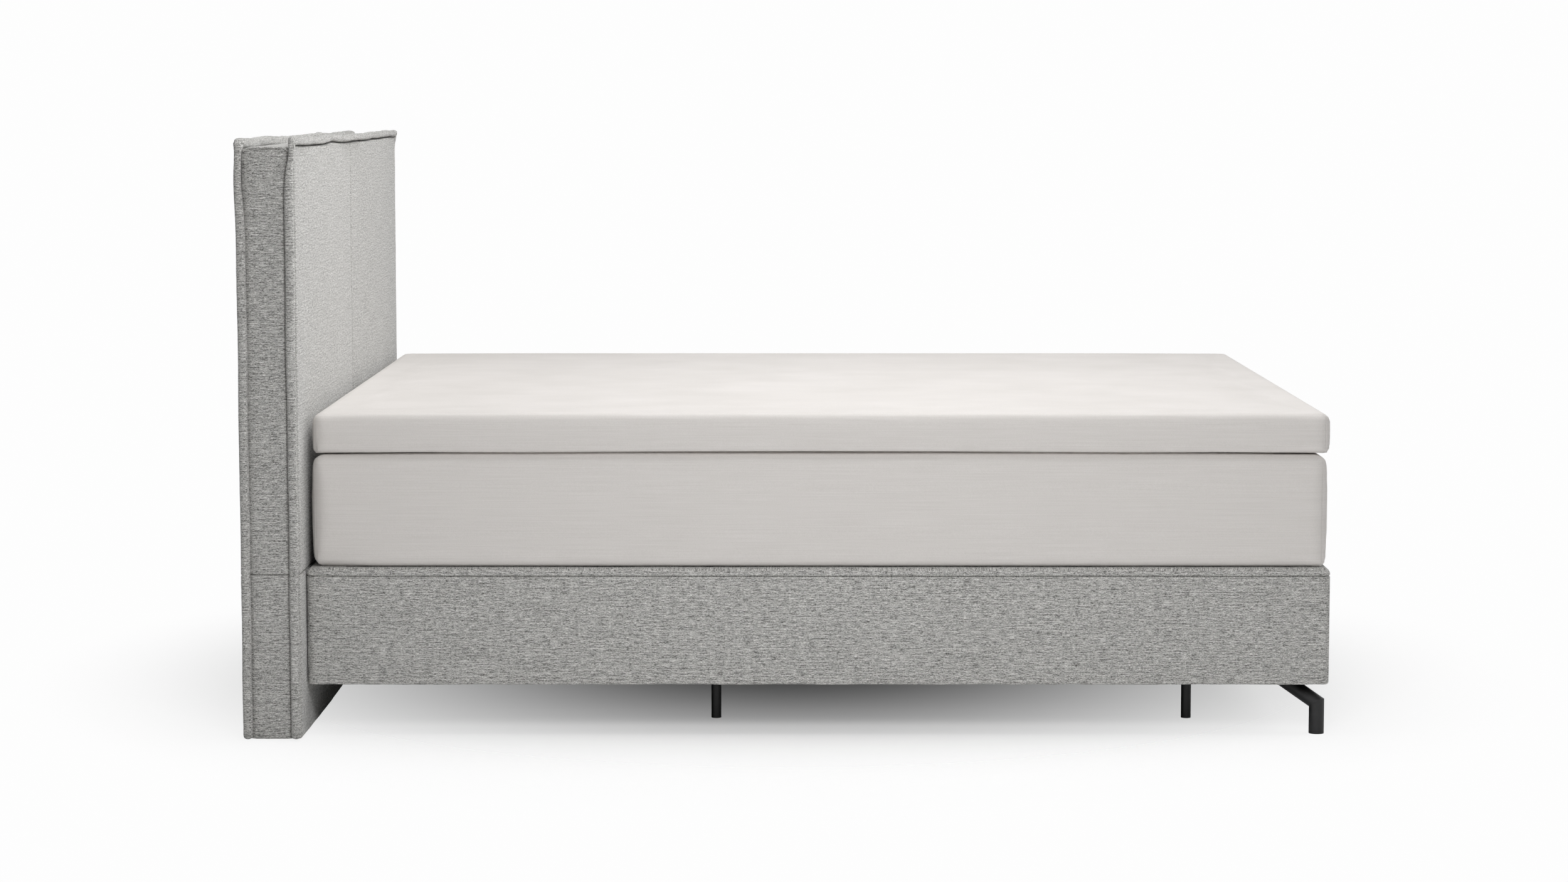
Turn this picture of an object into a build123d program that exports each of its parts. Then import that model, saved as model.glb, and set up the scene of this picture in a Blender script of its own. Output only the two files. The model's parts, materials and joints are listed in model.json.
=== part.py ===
from build123d import *
import math
import os

# A box spring bed: an upholstered headboard that stands on the floor, an upholstered base on legs,
# a mattress and a topper. Lengths are in millimetres. X runs along the bed from the headboard to
# the foot, Y runs across it from the left side to the right side, and Z is up. The origin is on
# the floor, in the middle of the bed's length and width.

# Whole bed
mattress_length = 2000.0
mattress_width = 1600.0
floor_clearance = 100.0
headboard_to_base_gap = 6.0
rest_clearance = 0.3
foam_clearance = 0.3
cover_thickness = 1.5
seam_gap = 0.6
cut_overrun = 5.0

# Headboard
headboard_overhang = 75.0
headboard_height = 1174.0
headboard_thickness = 112.0
cross_seam_drop = 5.0
front_crown = 4.0
front_top_radius = 6.0
welt_depth = 18.0
welt_side_width = 20.0
welt_top_height = 25.0
welt_corner_radius = 14.0
welt_edge_radius = 7.5
side_recess = 12.0
top_recess = 17.0
edge_foam_thickness = 8.0
back_recess = 8.0
back_wadding_thickness = 5.0
back_board_thickness = 3.0
front_board_thickness = 10.0
front_foam_thickness = 30.0
post_width = 45.0
stile_width = 60.0
top_rail_height = 80.0
middle_rail_height = 70.0
middle_rail_centre = 640.0
fixing_rail_height = 110.0
floor_rail_height = 40.0
floor_rail_glide_spread = 300.0
glide_radius = 15.0
glide_height = 3.0

# Bolts between the headboard and the base
bolt_height = 152.0
bolt_from_side = 187.0
inner_bolt_share = 0.36
bolt_radius = 4.0
bolt_reach_in_base = 30.0
bolt_hole_clearance = 0.5
bolt_head_radius = 8.0
bolt_head_height = 4.5
washer_radius = 13.0
washer_thickness = 2.0

# Base
base_side_margin = 5.0
base_height = 232.0
base_corner_radius = 14.0
base_top_edge_radius = 9.0
base_bottom_edge_radius = 7.0
base_seam_drop = 16.0
base_hem_width = 26.0
dust_cover_thickness = 1.2
base_side_foam_thickness = 7.0
rail_thickness = 22.0
head_rail_thickness = 44.0
rail_height = 100.0
cross_rail_thickness = 40.0
centre_rail_thickness = 22.0
corner_block_length = 100.0
corner_block_height = 70.0
deck_thickness = 4.0
base_top_foam_thickness = 25.4
base_edge_foam_width = 45.0
base_pocket_radius = 36.0
base_felt_thickness = 3.0

# Pocketed springs: each string is one row of round pockets, sewn to each other at a narrow web
pocket_web_share = 0.97
string_gap = 0.6

# Legs
first_post_from_head = 803.0
last_post_from_foot = 260.0
post_from_side = 194.0
support_post_radius = 10.0
support_post_wall = 1.5
support_post_disc_thickness = 4.0
stud_radius = 4.0
stud_reach = 24.0
insert_radius = 6.0
insert_length = 28.0
thread_clearance = 0.1
insert_fit = 0.1
corner_leg_inset = 21.0
corner_leg_radius = 15.0
corner_leg_wall = 2.0
corner_leg_bend_height = 61.0
corner_leg_strut_angle = 24.1
corner_plate_thickness = 3.0
corner_plate_radius = 8.0
screw_offset = 33.0
screw_edge_distance = 12.0
screw_radius = 2.2
screw_reach = 26.0
screw_hole_clearance = 0.15
screw_head_radius = 4.5
screw_head_height = 2.5
plug_length = 12.0
plug_fit = 0.1

# Mattress and topper
crown_plateau_share = 0.7
mattress_height = 223.7
mattress_head_setback = 9.0
mattress_foot_setback = 8.0
mattress_crown = 6.0
mattress_side_bow = 6.0
mattress_corner_radius = 35.0
mattress_top_radius = 24.0
mattress_bottom_radius = 28.0
mattress_bottom_foam = 25.0
mattress_top_foam = 55.1
mattress_edge_foam_width = 55.0
mattress_pocket_radius = 33.0
topper_height = 79.7
topper_foot_setback = 5.0
topper_crown = 2.0
topper_side_bow = 4.0
topper_corner_radius = 30.0
topper_top_radius = 20.0
topper_bottom_radius = 18.0

# Lengths and widths that follow the mattress
base_length = mattress_head_setback + mattress_length + mattress_foot_setback
base_width = mattress_width + 2 * base_side_margin
headboard_width = base_width + 2 * headboard_overhang

# Places along the bed
overall_length = headboard_thickness + headboard_to_base_gap + base_length
headboard_back_x = -overall_length / 2
headboard_front_x = headboard_back_x + headboard_thickness
base_head_x = headboard_front_x + headboard_to_base_gap
base_foot_x = base_head_x + base_length

# Heights
base_top_z = floor_clearance + base_height
cross_seam_z = base_top_z - cross_seam_drop
mattress_low_z = base_top_z + rest_clearance
mattress_edge_z = mattress_low_z + mattress_height
topper_low_z = mattress_edge_z + rest_clearance

# Layers of the headboard, from its back to its front
back_cover_x = headboard_back_x + back_recess
back_wadding_x = back_cover_x + cover_thickness
back_board_x = back_wadding_x + back_wadding_thickness
frame_back_x = back_board_x + back_board_thickness
front_foam_x = headboard_front_x - cover_thickness - front_foam_thickness
front_board_x = front_foam_x - front_board_thickness
strip_back_x = headboard_back_x + welt_depth + foam_clearance
strip_front_x = headboard_front_x - welt_depth - foam_clearance

# Half widths and tops of the headboard's layers
strip_outer_y = headboard_width / 2 - side_recess
strip_top_z = headboard_height - top_recess
edge_foam_outer_y = strip_outer_y - cover_thickness
edge_foam_top_z = strip_top_z - cover_thickness
headboard_frame_y = edge_foam_outer_y - edge_foam_thickness
headboard_frame_top_z = edge_foam_top_z - edge_foam_thickness
pad_outer_y = headboard_width / 2 - welt_side_width - foam_clearance
pad_top_z = headboard_height - welt_top_height - foam_clearance

# Layers of the base
base_inner_inset = cover_thickness + foam_clearance
frame_inset = base_inner_inset + base_side_foam_thickness
frame_head_x = base_head_x + frame_inset
frame_foot_x = base_foot_x - frame_inset
frame_side_y = base_width / 2 - frame_inset
frame_low_z = floor_clearance + base_inner_inset
frame_top_z = frame_low_z + rail_height
deck_top_z = frame_top_z + deck_thickness
felt_top_z = base_top_z - base_inner_inset - base_top_foam_thickness
springs_top_z = felt_top_z - base_felt_thickness
base_split_z = base_top_z - base_seam_drop
post_xs = (base_head_x + first_post_from_head, base_foot_x - last_post_from_foot)
post_y = base_width / 2 - post_from_side
outer_bolt_y = base_width / 2 - bolt_from_side
inner_bolt_y = inner_bolt_share * outer_bolt_y
bolt_ys = (-outer_bolt_y, -inner_bolt_y, inner_bolt_y, outer_bolt_y)


def block(x, y, z):
    """A square-edged block between two places along each of X, Y and Z."""
    size = (x[1] - x[0], y[1] - y[0], z[1] - z[0])
    return Pos(x[0], y[0], z[0]) * Box(*size, align=(Align.MIN, Align.MIN, Align.MIN))


def both_sides(half_width):
    """The stretch of Y from minus to plus a half width."""
    return (-half_width, half_width)


def rod(start, direction, radius, length):
    """A round bar that runs from a point in a direction."""
    return extrude(Plane(origin=start, z_dir=direction) * Circle(radius), amount=length)


def group(solids):
    """Separate solids that share one piece's name."""
    return Compound([one for solid in solids for one in solid.solids()])


def mirrored(solids):
    """Solids with their mirror images on the other side of the bed."""
    return group([*solids, *[mirror(solid, about=Plane.XZ) for solid in solids]])


def bolt_rods(radius):
    """Rods along the lines of the bolts, long enough to cut every layer that a bolt goes through."""
    start = headboard_back_x - cut_overrun
    length = frame_head_x + bolt_reach_in_base + insert_fit - start
    return [rod((start, y, bolt_height), (1, 0, 0), radius, length) for y in bolt_ys]


def drilled_for_bolts(layer):
    """A layer of the headboard or base with clearance holes for the bolts."""
    return layer - bolt_rods(bolt_radius + bolt_hole_clearance)


def spring_strings(length, width, height, pocket_radius, middle, low_z):
    """Rows of pocketed springs that fill a rectangle. Each row is one solid, and stands for its
    pockets and the coils in them."""
    pitch = 2 * pocket_radius * pocket_web_share
    row_pitch = 2 * pocket_radius + string_gap
    pockets = int((length - 2 * pocket_radius) / pitch) + 1
    rows = int(width / row_pitch)
    first_x = middle - (pockets - 1) * pitch / 2
    first_y = -(rows - 1) * row_pitch / 2
    circles = [Pos(i * pitch, 0) * Circle(pocket_radius) for i in range(pockets)]
    outline = circles[0] + circles[1:]
    string = extrude(outline, amount=height - 2 * foam_clearance)
    z = low_z + foam_clearance
    return group([Pos(first_x, first_y + j * row_pitch, z) * string for j in range(rows)])


def edge_strips(form, strip_width, x, half_width, z):
    """The four strips of foam that stand round the springs, cut from the form that they fill."""
    inner_y = half_width - strip_width
    past_x = (x[0] - cut_overrun, x[1] + cut_overrun)
    past_y = half_width + cut_overrun
    sides = [
        form & block(past_x, (-past_y, -inner_y), z),
        form & block(past_x, (inner_y, past_y), z),
    ]
    ends = [
        form & block((past_x[0], x[0] + strip_width), both_sides(inner_y), z),
        form & block((x[1] - strip_width, past_x[1]), both_sides(inner_y), z),
    ]
    return group([*sides, *ends])


# Headboard

def headboard_frame():
    """Posts, stiles and rails of the headboard, between its front and back boards."""
    x = (frame_back_x, front_board_x)
    post_inner_y = headboard_frame_y - post_width
    between = both_sides(post_inner_y)
    floor_rail = (glide_height, glide_height + floor_rail_height)
    fixing_rail = (bolt_height - fixing_rail_height / 2, bolt_height + fixing_rail_height / 2)
    middle_rail = (middle_rail_centre - middle_rail_height / 2, middle_rail_centre + middle_rail_height / 2)
    top_rail = (headboard_frame_top_z - top_rail_height, headboard_frame_top_z)
    upright = (glide_height, headboard_frame_top_z)
    stiles = [
        block(x, both_sides(stile_width / 2), (fixing_rail[1], middle_rail[0])),
        block(x, both_sides(stile_width / 2), (middle_rail[1], top_rail[0])),
    ]
    return {
        "headboard_post_left": block(x, (-headboard_frame_y, -post_inner_y), upright),
        "headboard_post_right": block(x, (post_inner_y, headboard_frame_y), upright),
        "headboard_stiles": group(stiles),
        "headboard_top_rail": block(x, between, top_rail),
        "headboard_middle_rail": block(x, between, middle_rail),
        "headboard_fixing_rail": drilled_for_bolts(block(x, between, fixing_rail)),
        "headboard_floor_rail": block(x, between, floor_rail),
    }


def headboard_boards():
    """The board under the front foam and the thin one at the back."""
    y = both_sides(headboard_frame_y)
    z = (glide_height, headboard_frame_top_z)
    return {
        "headboard_front_board": drilled_for_bolts(block((front_board_x, front_foam_x), y, z)),
        "headboard_back_board": drilled_for_bolts(block((back_board_x, frame_back_x), y, z)),
    }


def front_pad_form(inset, back_x):
    """The headboard's front pad, shrunk on its front, sides and top by inset. Its front is drawn in
    at the centre seam and swells forward on each side of it, and its top edge is rounded. The
    rounding starts a cover's thickness in front of the crown, so that it only grazes the face."""
    half = pad_outer_y - inset
    front = headboard_front_x - inset
    top = pad_top_z - inset
    plan = make_face(
        [
            Line((back_x, half), (back_x, -half)),
            Line((back_x, -half), (front, -half)),
            ThreePointArc((front, -half), (front + front_crown, -half / 2), (front, 0)),
            ThreePointArc((front, 0), (front + front_crown, half / 2), (front, half)),
            Line((front, half), (back_x, half)),
        ]
    )
    pad = Pos(0, 0, glide_height) * extrude(plan, amount=top - glide_height)
    nose = front + front_crown + cover_thickness
    rounding = make_face(
        [
            Line((back_x, glide_height), (nose, glide_height)),
            Line((nose, glide_height), (nose, top - front_top_radius)),
            RadiusArc((nose, top - front_top_radius), (nose - front_top_radius, top), -front_top_radius),
            Line((nose - front_top_radius, top), (back_x, top)),
            Line((back_x, top), (back_x, glide_height)),
        ]
    )
    return pad & extrude(Plane.XZ * rounding, amount=headboard_width, both=True)


def headboard_front_padding():
    """Front foam and the cover panels over it."""
    foam_inset = cover_thickness + foam_clearance
    foam = front_pad_form(foam_inset, front_foam_x)
    skirt_x = headboard_front_x - welt_depth
    shell = front_pad_form(0, skirt_x) - front_pad_form(cover_thickness, skirt_x - cut_overrun)
    reach = (skirt_x, headboard_front_x + front_crown + cut_overrun)
    upper = (cross_seam_z + seam_gap / 2, pad_top_z)
    lower = (glide_height, cross_seam_z - seam_gap / 2)
    left = shell & block(reach, (-pad_outer_y, -seam_gap / 2), upper)
    right = shell & block(reach, (seam_gap / 2, pad_outer_y), upper)
    bottom = shell & block(reach, both_sides(pad_outer_y), lower)
    return {
        "headboard_front_foam": drilled_for_bolts(foam),
        "headboard_cover_front_left": left,
        "headboard_cover_front_right": right,
        "headboard_cover_front_lower": drilled_for_bolts(bottom),
    }


def headboard_edges():
    """Foam and cover strips round the sides and top of the headboard, between the two welts."""
    x = (strip_back_x, strip_front_x)
    foam_y = (headboard_frame_y, edge_foam_outer_y)
    foam_z = (glide_height, headboard_frame_top_z)
    side_foam = block(x, foam_y, foam_z)
    top_foam = block(x, both_sides(edge_foam_outer_y), (headboard_frame_top_z, edge_foam_top_z))
    strip_y = (edge_foam_outer_y, strip_outer_y)
    upper = block(x, strip_y, (cross_seam_z + seam_gap / 2, edge_foam_top_z))
    lower = block(x, strip_y, (glide_height, cross_seam_z - seam_gap / 2))
    return {
        "headboard_side_foam": mirrored([side_foam]),
        "headboard_top_foam": top_foam,
        "headboard_cover_side_left": mirror(upper, about=Plane.XZ),
        "headboard_cover_side_right": upper,
        "headboard_cover_side_lower": mirrored([lower]),
        "headboard_cover_top": block(x, both_sides(strip_outer_y), (edge_foam_top_z, strip_top_z)),
    }


def headboard_back():
    """Wadding and cover on the back of the headboard."""
    y = both_sides(pad_outer_y)
    z = (glide_height, pad_top_z)
    cover = block((back_cover_x, back_wadding_x), y, z)
    wadding = block((back_wadding_x, back_board_x), y, z)
    return {
        "headboard_back_wadding": drilled_for_bolts(wadding),
        "headboard_cover_back": drilled_for_bolts(cover),
    }


def welt(back_x):
    """A stuffed welt that runs up one side of a face, over its top and down the other side."""
    x = (back_x, back_x + welt_depth)
    outer = block(x, both_sides(headboard_width / 2), (glide_height, headboard_height))
    top_corners = outer.edges().filter_by(Axis.X).group_by(Axis.Z)[-1]
    outer = fillet(top_corners, welt_corner_radius)
    faces = outer.faces().sort_by(Axis.X)
    rims = [*faces[0].edges(), *faces[-1].edges()]
    outer = fillet([edge for edge in rims if edge.center().Z > glide_height + cut_overrun], welt_edge_radius)
    inner_y = headboard_width / 2 - welt_side_width
    inner_top = headboard_height - welt_top_height
    inner_x = (x[0] - cut_overrun, x[1] + cut_overrun)
    return outer - block(inner_x, both_sides(inner_y), (glide_height - cut_overrun, inner_top))


def headboard_hardware():
    """Floor glides, and the bolts that fix the headboard to the base with their washers."""
    glide_x = (frame_back_x + front_board_x) / 2
    glide_ys = (headboard_frame_y - post_width / 2, floor_rail_glide_spread)
    glides = [rod((glide_x, y, 0), (0, 0, 1), glide_radius, glide_height) for y in glide_ys]
    washer_x = back_cover_x - washer_thickness
    head_x = washer_x - bolt_head_height
    shank = frame_head_x + bolt_reach_in_base - washer_x
    bolts = []
    washers = []
    for y in bolt_ys:
        head = rod((head_x, y, bolt_height), (1, 0, 0), bolt_head_radius, bolt_head_height)
        bolts.append(head + rod((washer_x, y, bolt_height), (1, 0, 0), bolt_radius, shank))
        washers.append(rod((washer_x, y, bolt_height), (1, 0, 0), washer_radius, washer_thickness))
    washer_holes = bolt_rods(bolt_radius + thread_clearance)
    return {
        "headboard_glides": mirrored(glides),
        "headboard_bolts": group(bolts),
        "headboard_washers": group([washer - washer_holes for washer in washers]),
    }


# Base

def base_form(inset):
    """The upholstered block of the base, shrunk on every side by inset."""
    half_width = base_width / 2 - inset
    z = (floor_clearance + inset, base_top_z - inset)
    form = block((base_head_x + inset, base_foot_x - inset), both_sides(half_width), z)
    form = fillet(form.edges().filter_by(Axis.Z), base_corner_radius - inset)
    form = fillet(form.faces().sort_by(Axis.Z)[-1].edges(), base_top_edge_radius - inset)
    return fillet(form.faces().sort_by(Axis.Z)[0].edges(), base_bottom_edge_radius - inset)


def base_covers():
    """The base's cover: a side band whose hem turns in under the rails, a top panel that comes
    down to the seam, and a thin dust cover inside the hem."""
    shell = base_form(0) - base_form(cover_thickness)
    x = (base_head_x, base_foot_x)
    y = both_sides(base_width / 2)
    low = (floor_clearance, base_split_z - seam_gap / 2)
    high = (base_split_z + seam_gap / 2, base_top_z)
    open_x = (base_head_x + base_hem_width, base_foot_x - base_hem_width)
    open_y = base_width / 2 - base_hem_width
    below = (floor_clearance - cut_overrun, floor_clearance + cut_overrun)
    side = (shell & block(x, y, low)) - block(open_x, both_sides(open_y), below)
    dust_x = (open_x[0] + seam_gap, open_x[1] - seam_gap)
    dust_z = (floor_clearance, floor_clearance + dust_cover_thickness)
    dust = block(dust_x, both_sides(open_y - seam_gap), dust_z)
    dust = dust - stud_rods(stud_radius + bolt_hole_clearance)
    dust = dust - screw_rods(screw_radius + bolt_hole_clearance)
    return {
        "base_cover_side": drilled_for_bolts(side),
        "base_cover_top": shell & block(x, y, high),
        "base_dust_cover": dust,
    }


def base_soft_layers():
    """Foam over the rails, foam round the springs, the springs, felt and the top foam."""
    form = base_form(base_inner_inset)
    x = (base_head_x + base_inner_inset, base_foot_x - base_inner_inset)
    half_width = base_width / 2 - base_inner_inset
    side_z = (frame_low_z, springs_top_z)
    side_foam = edge_strips(form, base_side_foam_thickness, x, half_width, side_z)
    core_x = (frame_head_x, frame_foot_x)
    spring_z = (deck_top_z, springs_top_z)
    core = block(core_x, both_sides(frame_side_y), spring_z)
    edge_foam = edge_strips(core, base_edge_foam_width, core_x, frame_side_y, spring_z)
    strings = spring_strings(
        frame_foot_x - frame_head_x - 2 * base_edge_foam_width,
        2 * (frame_side_y - base_edge_foam_width),
        springs_top_z - deck_top_z,
        base_pocket_radius,
        (frame_head_x + frame_foot_x) / 2,
        deck_top_z,
    )
    top_foam = form & block(x, both_sides(half_width), (felt_top_z, base_top_z))
    return {
        "base_side_foam": group([drilled_for_bolts(strip) for strip in side_foam.solids()]),
        "base_edge_foam": edge_foam,
        "base_spring_strings": strings,
        "base_spring_felt": form & block(x, both_sides(half_width), (springs_top_z, felt_top_z)),
        "base_top_foam": top_foam,
    }


def cross_rail_xs():
    """Middles of the cross rails: one over each row of support posts, and one between each two
    neighbours of those and the head rail."""
    first, last = post_xs
    return [(frame_head_x + first) / 2, first, (first + last) / 2, last]


def base_frame():
    """Rails, cross rails, centre rails, corner blocks and deck board of the base."""
    z = (frame_low_z, frame_top_z)
    x = (frame_head_x, frame_foot_x)
    inner_x = (frame_head_x + head_rail_thickness, frame_foot_x - rail_thickness)
    inner_y = frame_side_y - rail_thickness
    side_rail = block(x, (inner_y, frame_side_y), z)
    head_rail = block((x[0], inner_x[0]), both_sides(inner_y), z)
    foot_rail = block((inner_x[1], x[1]), both_sides(inner_y), z)
    inserts = bolt_rods(insert_radius + insert_fit)
    cross_rails = []
    half = cross_rail_thickness / 2
    for middle in cross_rail_xs():
        cross_rails.append(block((middle - half, middle + half), both_sides(inner_y), z))
    sockets = insert_rods(insert_radius + insert_fit)
    ends = [inner_x[0], *cross_rail_xs(), inner_x[1]]
    centre_rails = []
    for i in range(len(ends) - 1):
        start = ends[i] + (half if i > 0 else 0)
        stop = ends[i + 1] - (half if i + 2 < len(ends) else 0)
        centre_rails.append(block((start, stop), both_sides(centre_rail_thickness / 2), z))
    block_z = (frame_low_z, frame_low_z + corner_block_height)
    block_y = (inner_y - corner_block_length, inner_y)
    foot_block = block((inner_x[1] - corner_block_length, inner_x[1]), block_y, block_z)
    head_block = block((inner_x[0], inner_x[0] + corner_block_length), block_y, block_z)
    pilots = screw_rods(screw_radius)
    corner_blocks = mirrored([head_block, foot_block])
    return {
        "base_rail_left": mirror(side_rail, about=Plane.XZ),
        "base_rail_right": side_rail,
        "base_rail_head": head_rail - inserts,
        "base_rail_foot": foot_rail,
        "base_cross_rails": group([rail - sockets for rail in cross_rails]),
        "base_centre_rails": group(centre_rails),
        "base_corner_blocks": group([one - pilots for one in corner_blocks.solids()]),
        "base_deck_board": block(x, both_sides(frame_side_y), (frame_top_z, deck_top_z)),
    }


# Legs

def post_places():
    """Where the support posts stand: two rows across the bed."""
    return [(x, y) for x in post_xs for y in (-post_y, post_y)]


def stud_rods(radius):
    """Rods along the lines of the support posts' studs."""
    start = floor_clearance - cut_overrun
    length = frame_low_z + stud_reach - start
    return [rod((x, y, start), (0, 0, 1), radius, length) for x, y in post_places()]


def insert_rods(radius):
    """Rods as long as the threaded inserts for the posts' studs, in their places."""
    return [rod((x, y, frame_low_z), (0, 0, 1), radius, insert_length) for x, y in post_places()]


def threaded_inserts():
    """Sleeves in the head rail for the bolts, and in the cross rails for the studs."""
    sleeves = []
    for y in bolt_ys:
        sleeve = rod((frame_head_x, y, bolt_height), (1, 0, 0), insert_radius, bolt_reach_in_base)
        sleeves.append(sleeve - bolt_rods(bolt_radius + thread_clearance))
    bores = insert_rods(stud_radius + thread_clearance)
    sleeves.extend([sleeve - bores for sleeve in insert_rods(insert_radius)])
    return group(sleeves)


def support_posts():
    """Straight round posts: an open tube, a disc with a stud welded into its top, and a glide."""
    disc_z = floor_clearance - support_post_disc_thickness
    bore = support_post_radius - support_post_wall
    tubes = []
    studs = []
    glides = []
    for x, y in post_places():
        tube = rod((x, y, glide_height), (0, 0, 1), support_post_radius, disc_z - glide_height)
        tubes.append(tube - rod((x, y, 0), (0, 0, 1), bore, disc_z))
        disc = rod((x, y, disc_z), (0, 0, 1), support_post_radius, support_post_disc_thickness)
        stud_length = frame_low_z + stud_reach - floor_clearance
        studs.append(disc + rod((x, y, floor_clearance), (0, 0, 1), stud_radius, stud_length))
        cap = rod((x, y, 0), (0, 0, 1), support_post_radius, glide_height)
        plug = rod((x, y, glide_height), (0, 0, 1), bore - plug_fit, plug_length)
        glides.append(cap + plug)
    return {
        "support_post_tubes": group(tubes),
        "support_post_studs": group(studs),
        "support_post_glides": group(glides),
    }


def corner_leg_points():
    """The foot, bend and plate points of the right corner leg's centre line, and the strut's
    direction. The strut runs inward under the corner at a slant."""
    x = base_foot_x - corner_leg_inset
    y = base_width / 2 - corner_leg_inset
    angle = math.radians(corner_leg_strut_angle)
    plan = math.cos(angle) / math.sqrt(2)
    direction = Vector(-plan, -plan, math.sin(angle))
    plate_z = floor_clearance - corner_plate_thickness
    run = (plate_z - corner_leg_bend_height) / math.sin(angle)
    bend = Vector(x, y, corner_leg_bend_height)
    return Vector(x, y, 0), bend, bend + direction * run, direction


def screw_places():
    """Where the right leg's screws are: inward of the strut's end and on each side of it."""
    top = corner_leg_points()[2]
    offsets = ((-screw_offset, -screw_offset), (-screw_offset, screw_offset), (screw_offset, -screw_offset))
    return [(top.X + dx, top.Y + dy) for dx, dy in offsets]


def screw_rods(radius):
    """Rods along the lines of both corner legs' screws."""
    start = floor_clearance - corner_plate_thickness - cut_overrun
    length = floor_clearance + screw_reach - start
    places = [(x, side * y) for x, y in screw_places() for side in (-1, 1)]
    return [rod((x, y, start), (0, 0, 1), radius, length) for x, y in places]


def corner_leg_tube(radius):
    """The right corner leg's foot tube and strut, cut to a mitre where they meet."""
    foot, bend, top, direction = corner_leg_points()
    mitre = Plane(origin=bend, z_dir=Vector(0, 0, 1) + direction)
    plate = Plane(origin=(0, 0, top.Z), z_dir=(0, 0, 1))
    upright = rod(foot, (0, 0, 1), radius, bend.Z + 2 * corner_leg_radius)
    upright = split(upright, bisect_by=mitre, keep=Keep.BOTTOM)
    reach = (top - bend).length
    past = 4 * corner_leg_radius
    strut = rod(bend - direction * past, direction, radius, reach + 2 * past)
    strut = split(strut, bisect_by=mitre, keep=Keep.TOP)
    return upright, split(strut, bisect_by=plate, keep=Keep.BOTTOM)


def corner_legs():
    """Corner legs at the foot: plate, strut, foot tube, glide and screws."""
    foot, bend, top, direction = corner_leg_points()
    bore = corner_leg_radius - corner_leg_wall
    upright, strut = corner_leg_tube(corner_leg_radius)
    upright_bore, strut_bore = corner_leg_tube(bore)
    below_tube = rod(foot, (0, 0, 1), corner_leg_radius + cut_overrun, glide_height)
    upright = upright - upright_bore - below_tube
    strut = strut - strut_bore
    half = screw_offset + screw_edge_distance
    plate_z = floor_clearance - corner_plate_thickness
    plate = block((top.X - half, top.X + half), (top.Y - half, top.Y + half), (plate_z, floor_clearance))
    plate = fillet(plate.edges().filter_by(Axis.Z), corner_plate_radius)
    plate = plate - screw_rods(screw_radius + screw_hole_clearance)
    cap = rod(foot, (0, 0, 1), corner_leg_radius, glide_height)
    plug = rod((foot.X, foot.Y, glide_height), (0, 0, 1), bore - plug_fit, plug_length)
    screws = []
    for x, y in screw_places():
        head = rod((x, y, plate_z - screw_head_height), (0, 0, 1), screw_head_radius, screw_head_height)
        shank = rod((x, y, plate_z), (0, 0, 1), screw_radius, floor_clearance + screw_reach - plate_z)
        screws.append(head + shank)
    return {
        "corner_leg_plates": mirrored([plate]),
        "corner_leg_struts": mirrored([strut]),
        "corner_leg_foot_tubes": mirrored([upright]),
        "corner_leg_glides": mirrored([cap + plug]),
        "corner_leg_screws": mirrored(screws),
    }


# Mattress and topper

def bowed_outline(half_width, low, high, bow, rises, radii):
    """A four-sided outline, upright in its plane, with rounded corners. Its sides bow out, and its
    low and high edges rise in the middle. Rises and radii are given for the low edge, then for
    the high edge."""
    corner = half_width - bow
    middle = (low + high) / 2
    low_edge = Line((-corner, low), (corner, low))
    if rises[0]:
        low_edge = ThreePointArc((-corner, low), (0, low + rises[0]), (corner, low))
    high_edge = Line((corner, high), (-corner, high))
    if rises[1]:
        high_edge = ThreePointArc((corner, high), (0, high + rises[1]), (-corner, high))
    right = ThreePointArc((corner, low), (half_width, middle), (corner, high))
    left = ThreePointArc((-corner, high), (-half_width, middle), (-corner, low))
    outline = make_face([low_edge, right, high_edge, left])
    outline = fillet(outline.vertices().group_by(Axis.Y)[0], radii[0])
    return fillet(outline.vertices().group_by(Axis.Y)[-1], radii[1])


def cushion_form(size, bow, rises, radii, inset):
    """A crowned block with bowed sides and rounded edges, shrunk on every side by inset. It is
    centred in X and Y, and its lower edge is at Z = 0. The crown levels off before its middle."""
    length, width, height = size
    corner_radius, low_radius, high_radius = radii
    low, high = inset, height - inset
    edge_radii = (low_radius - inset, high_radius - inset)
    plateau = high + crown_plateau_share * rises[1]
    along = bowed_outline(length / 2 - inset, low, high, bow, rises, edge_radii)
    across = bowed_outline(width / 2 - inset, low, plateau, bow, (0, 0), edge_radii)
    plan = RectangleRounded(length - 2 * inset, width - 2 * inset, corner_radius - inset)
    form = extrude(Plane.XZ * along, amount=width, both=True)
    form = form & extrude(Plane.YZ * across, amount=length, both=True)
    return form & extrude(plan, amount=2 * height, both=True)


def mattress_form(inset):
    """The mattress, in its place, shrunk on every side by inset."""
    size = (mattress_length, mattress_width, mattress_height)
    radii = (mattress_corner_radius, mattress_bottom_radius, mattress_top_radius)
    middle = base_foot_x - mattress_foot_setback - mattress_length / 2
    form = cushion_form(size, mattress_side_bow, (0, mattress_crown), radii, inset)
    return Pos(middle, 0, mattress_low_z) * form


def topper_form(inset):
    """The topper, in its place, shrunk on every side by inset. Its underside follows the
    mattress's crown."""
    size = (mattress_length, mattress_width, topper_height)
    radii = (topper_corner_radius, topper_bottom_radius, topper_top_radius)
    middle = base_foot_x - topper_foot_setback - mattress_length / 2
    form = cushion_form(size, topper_side_bow, (mattress_crown, topper_crown), radii, inset)
    return Pos(middle, 0, topper_low_z) * form


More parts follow.
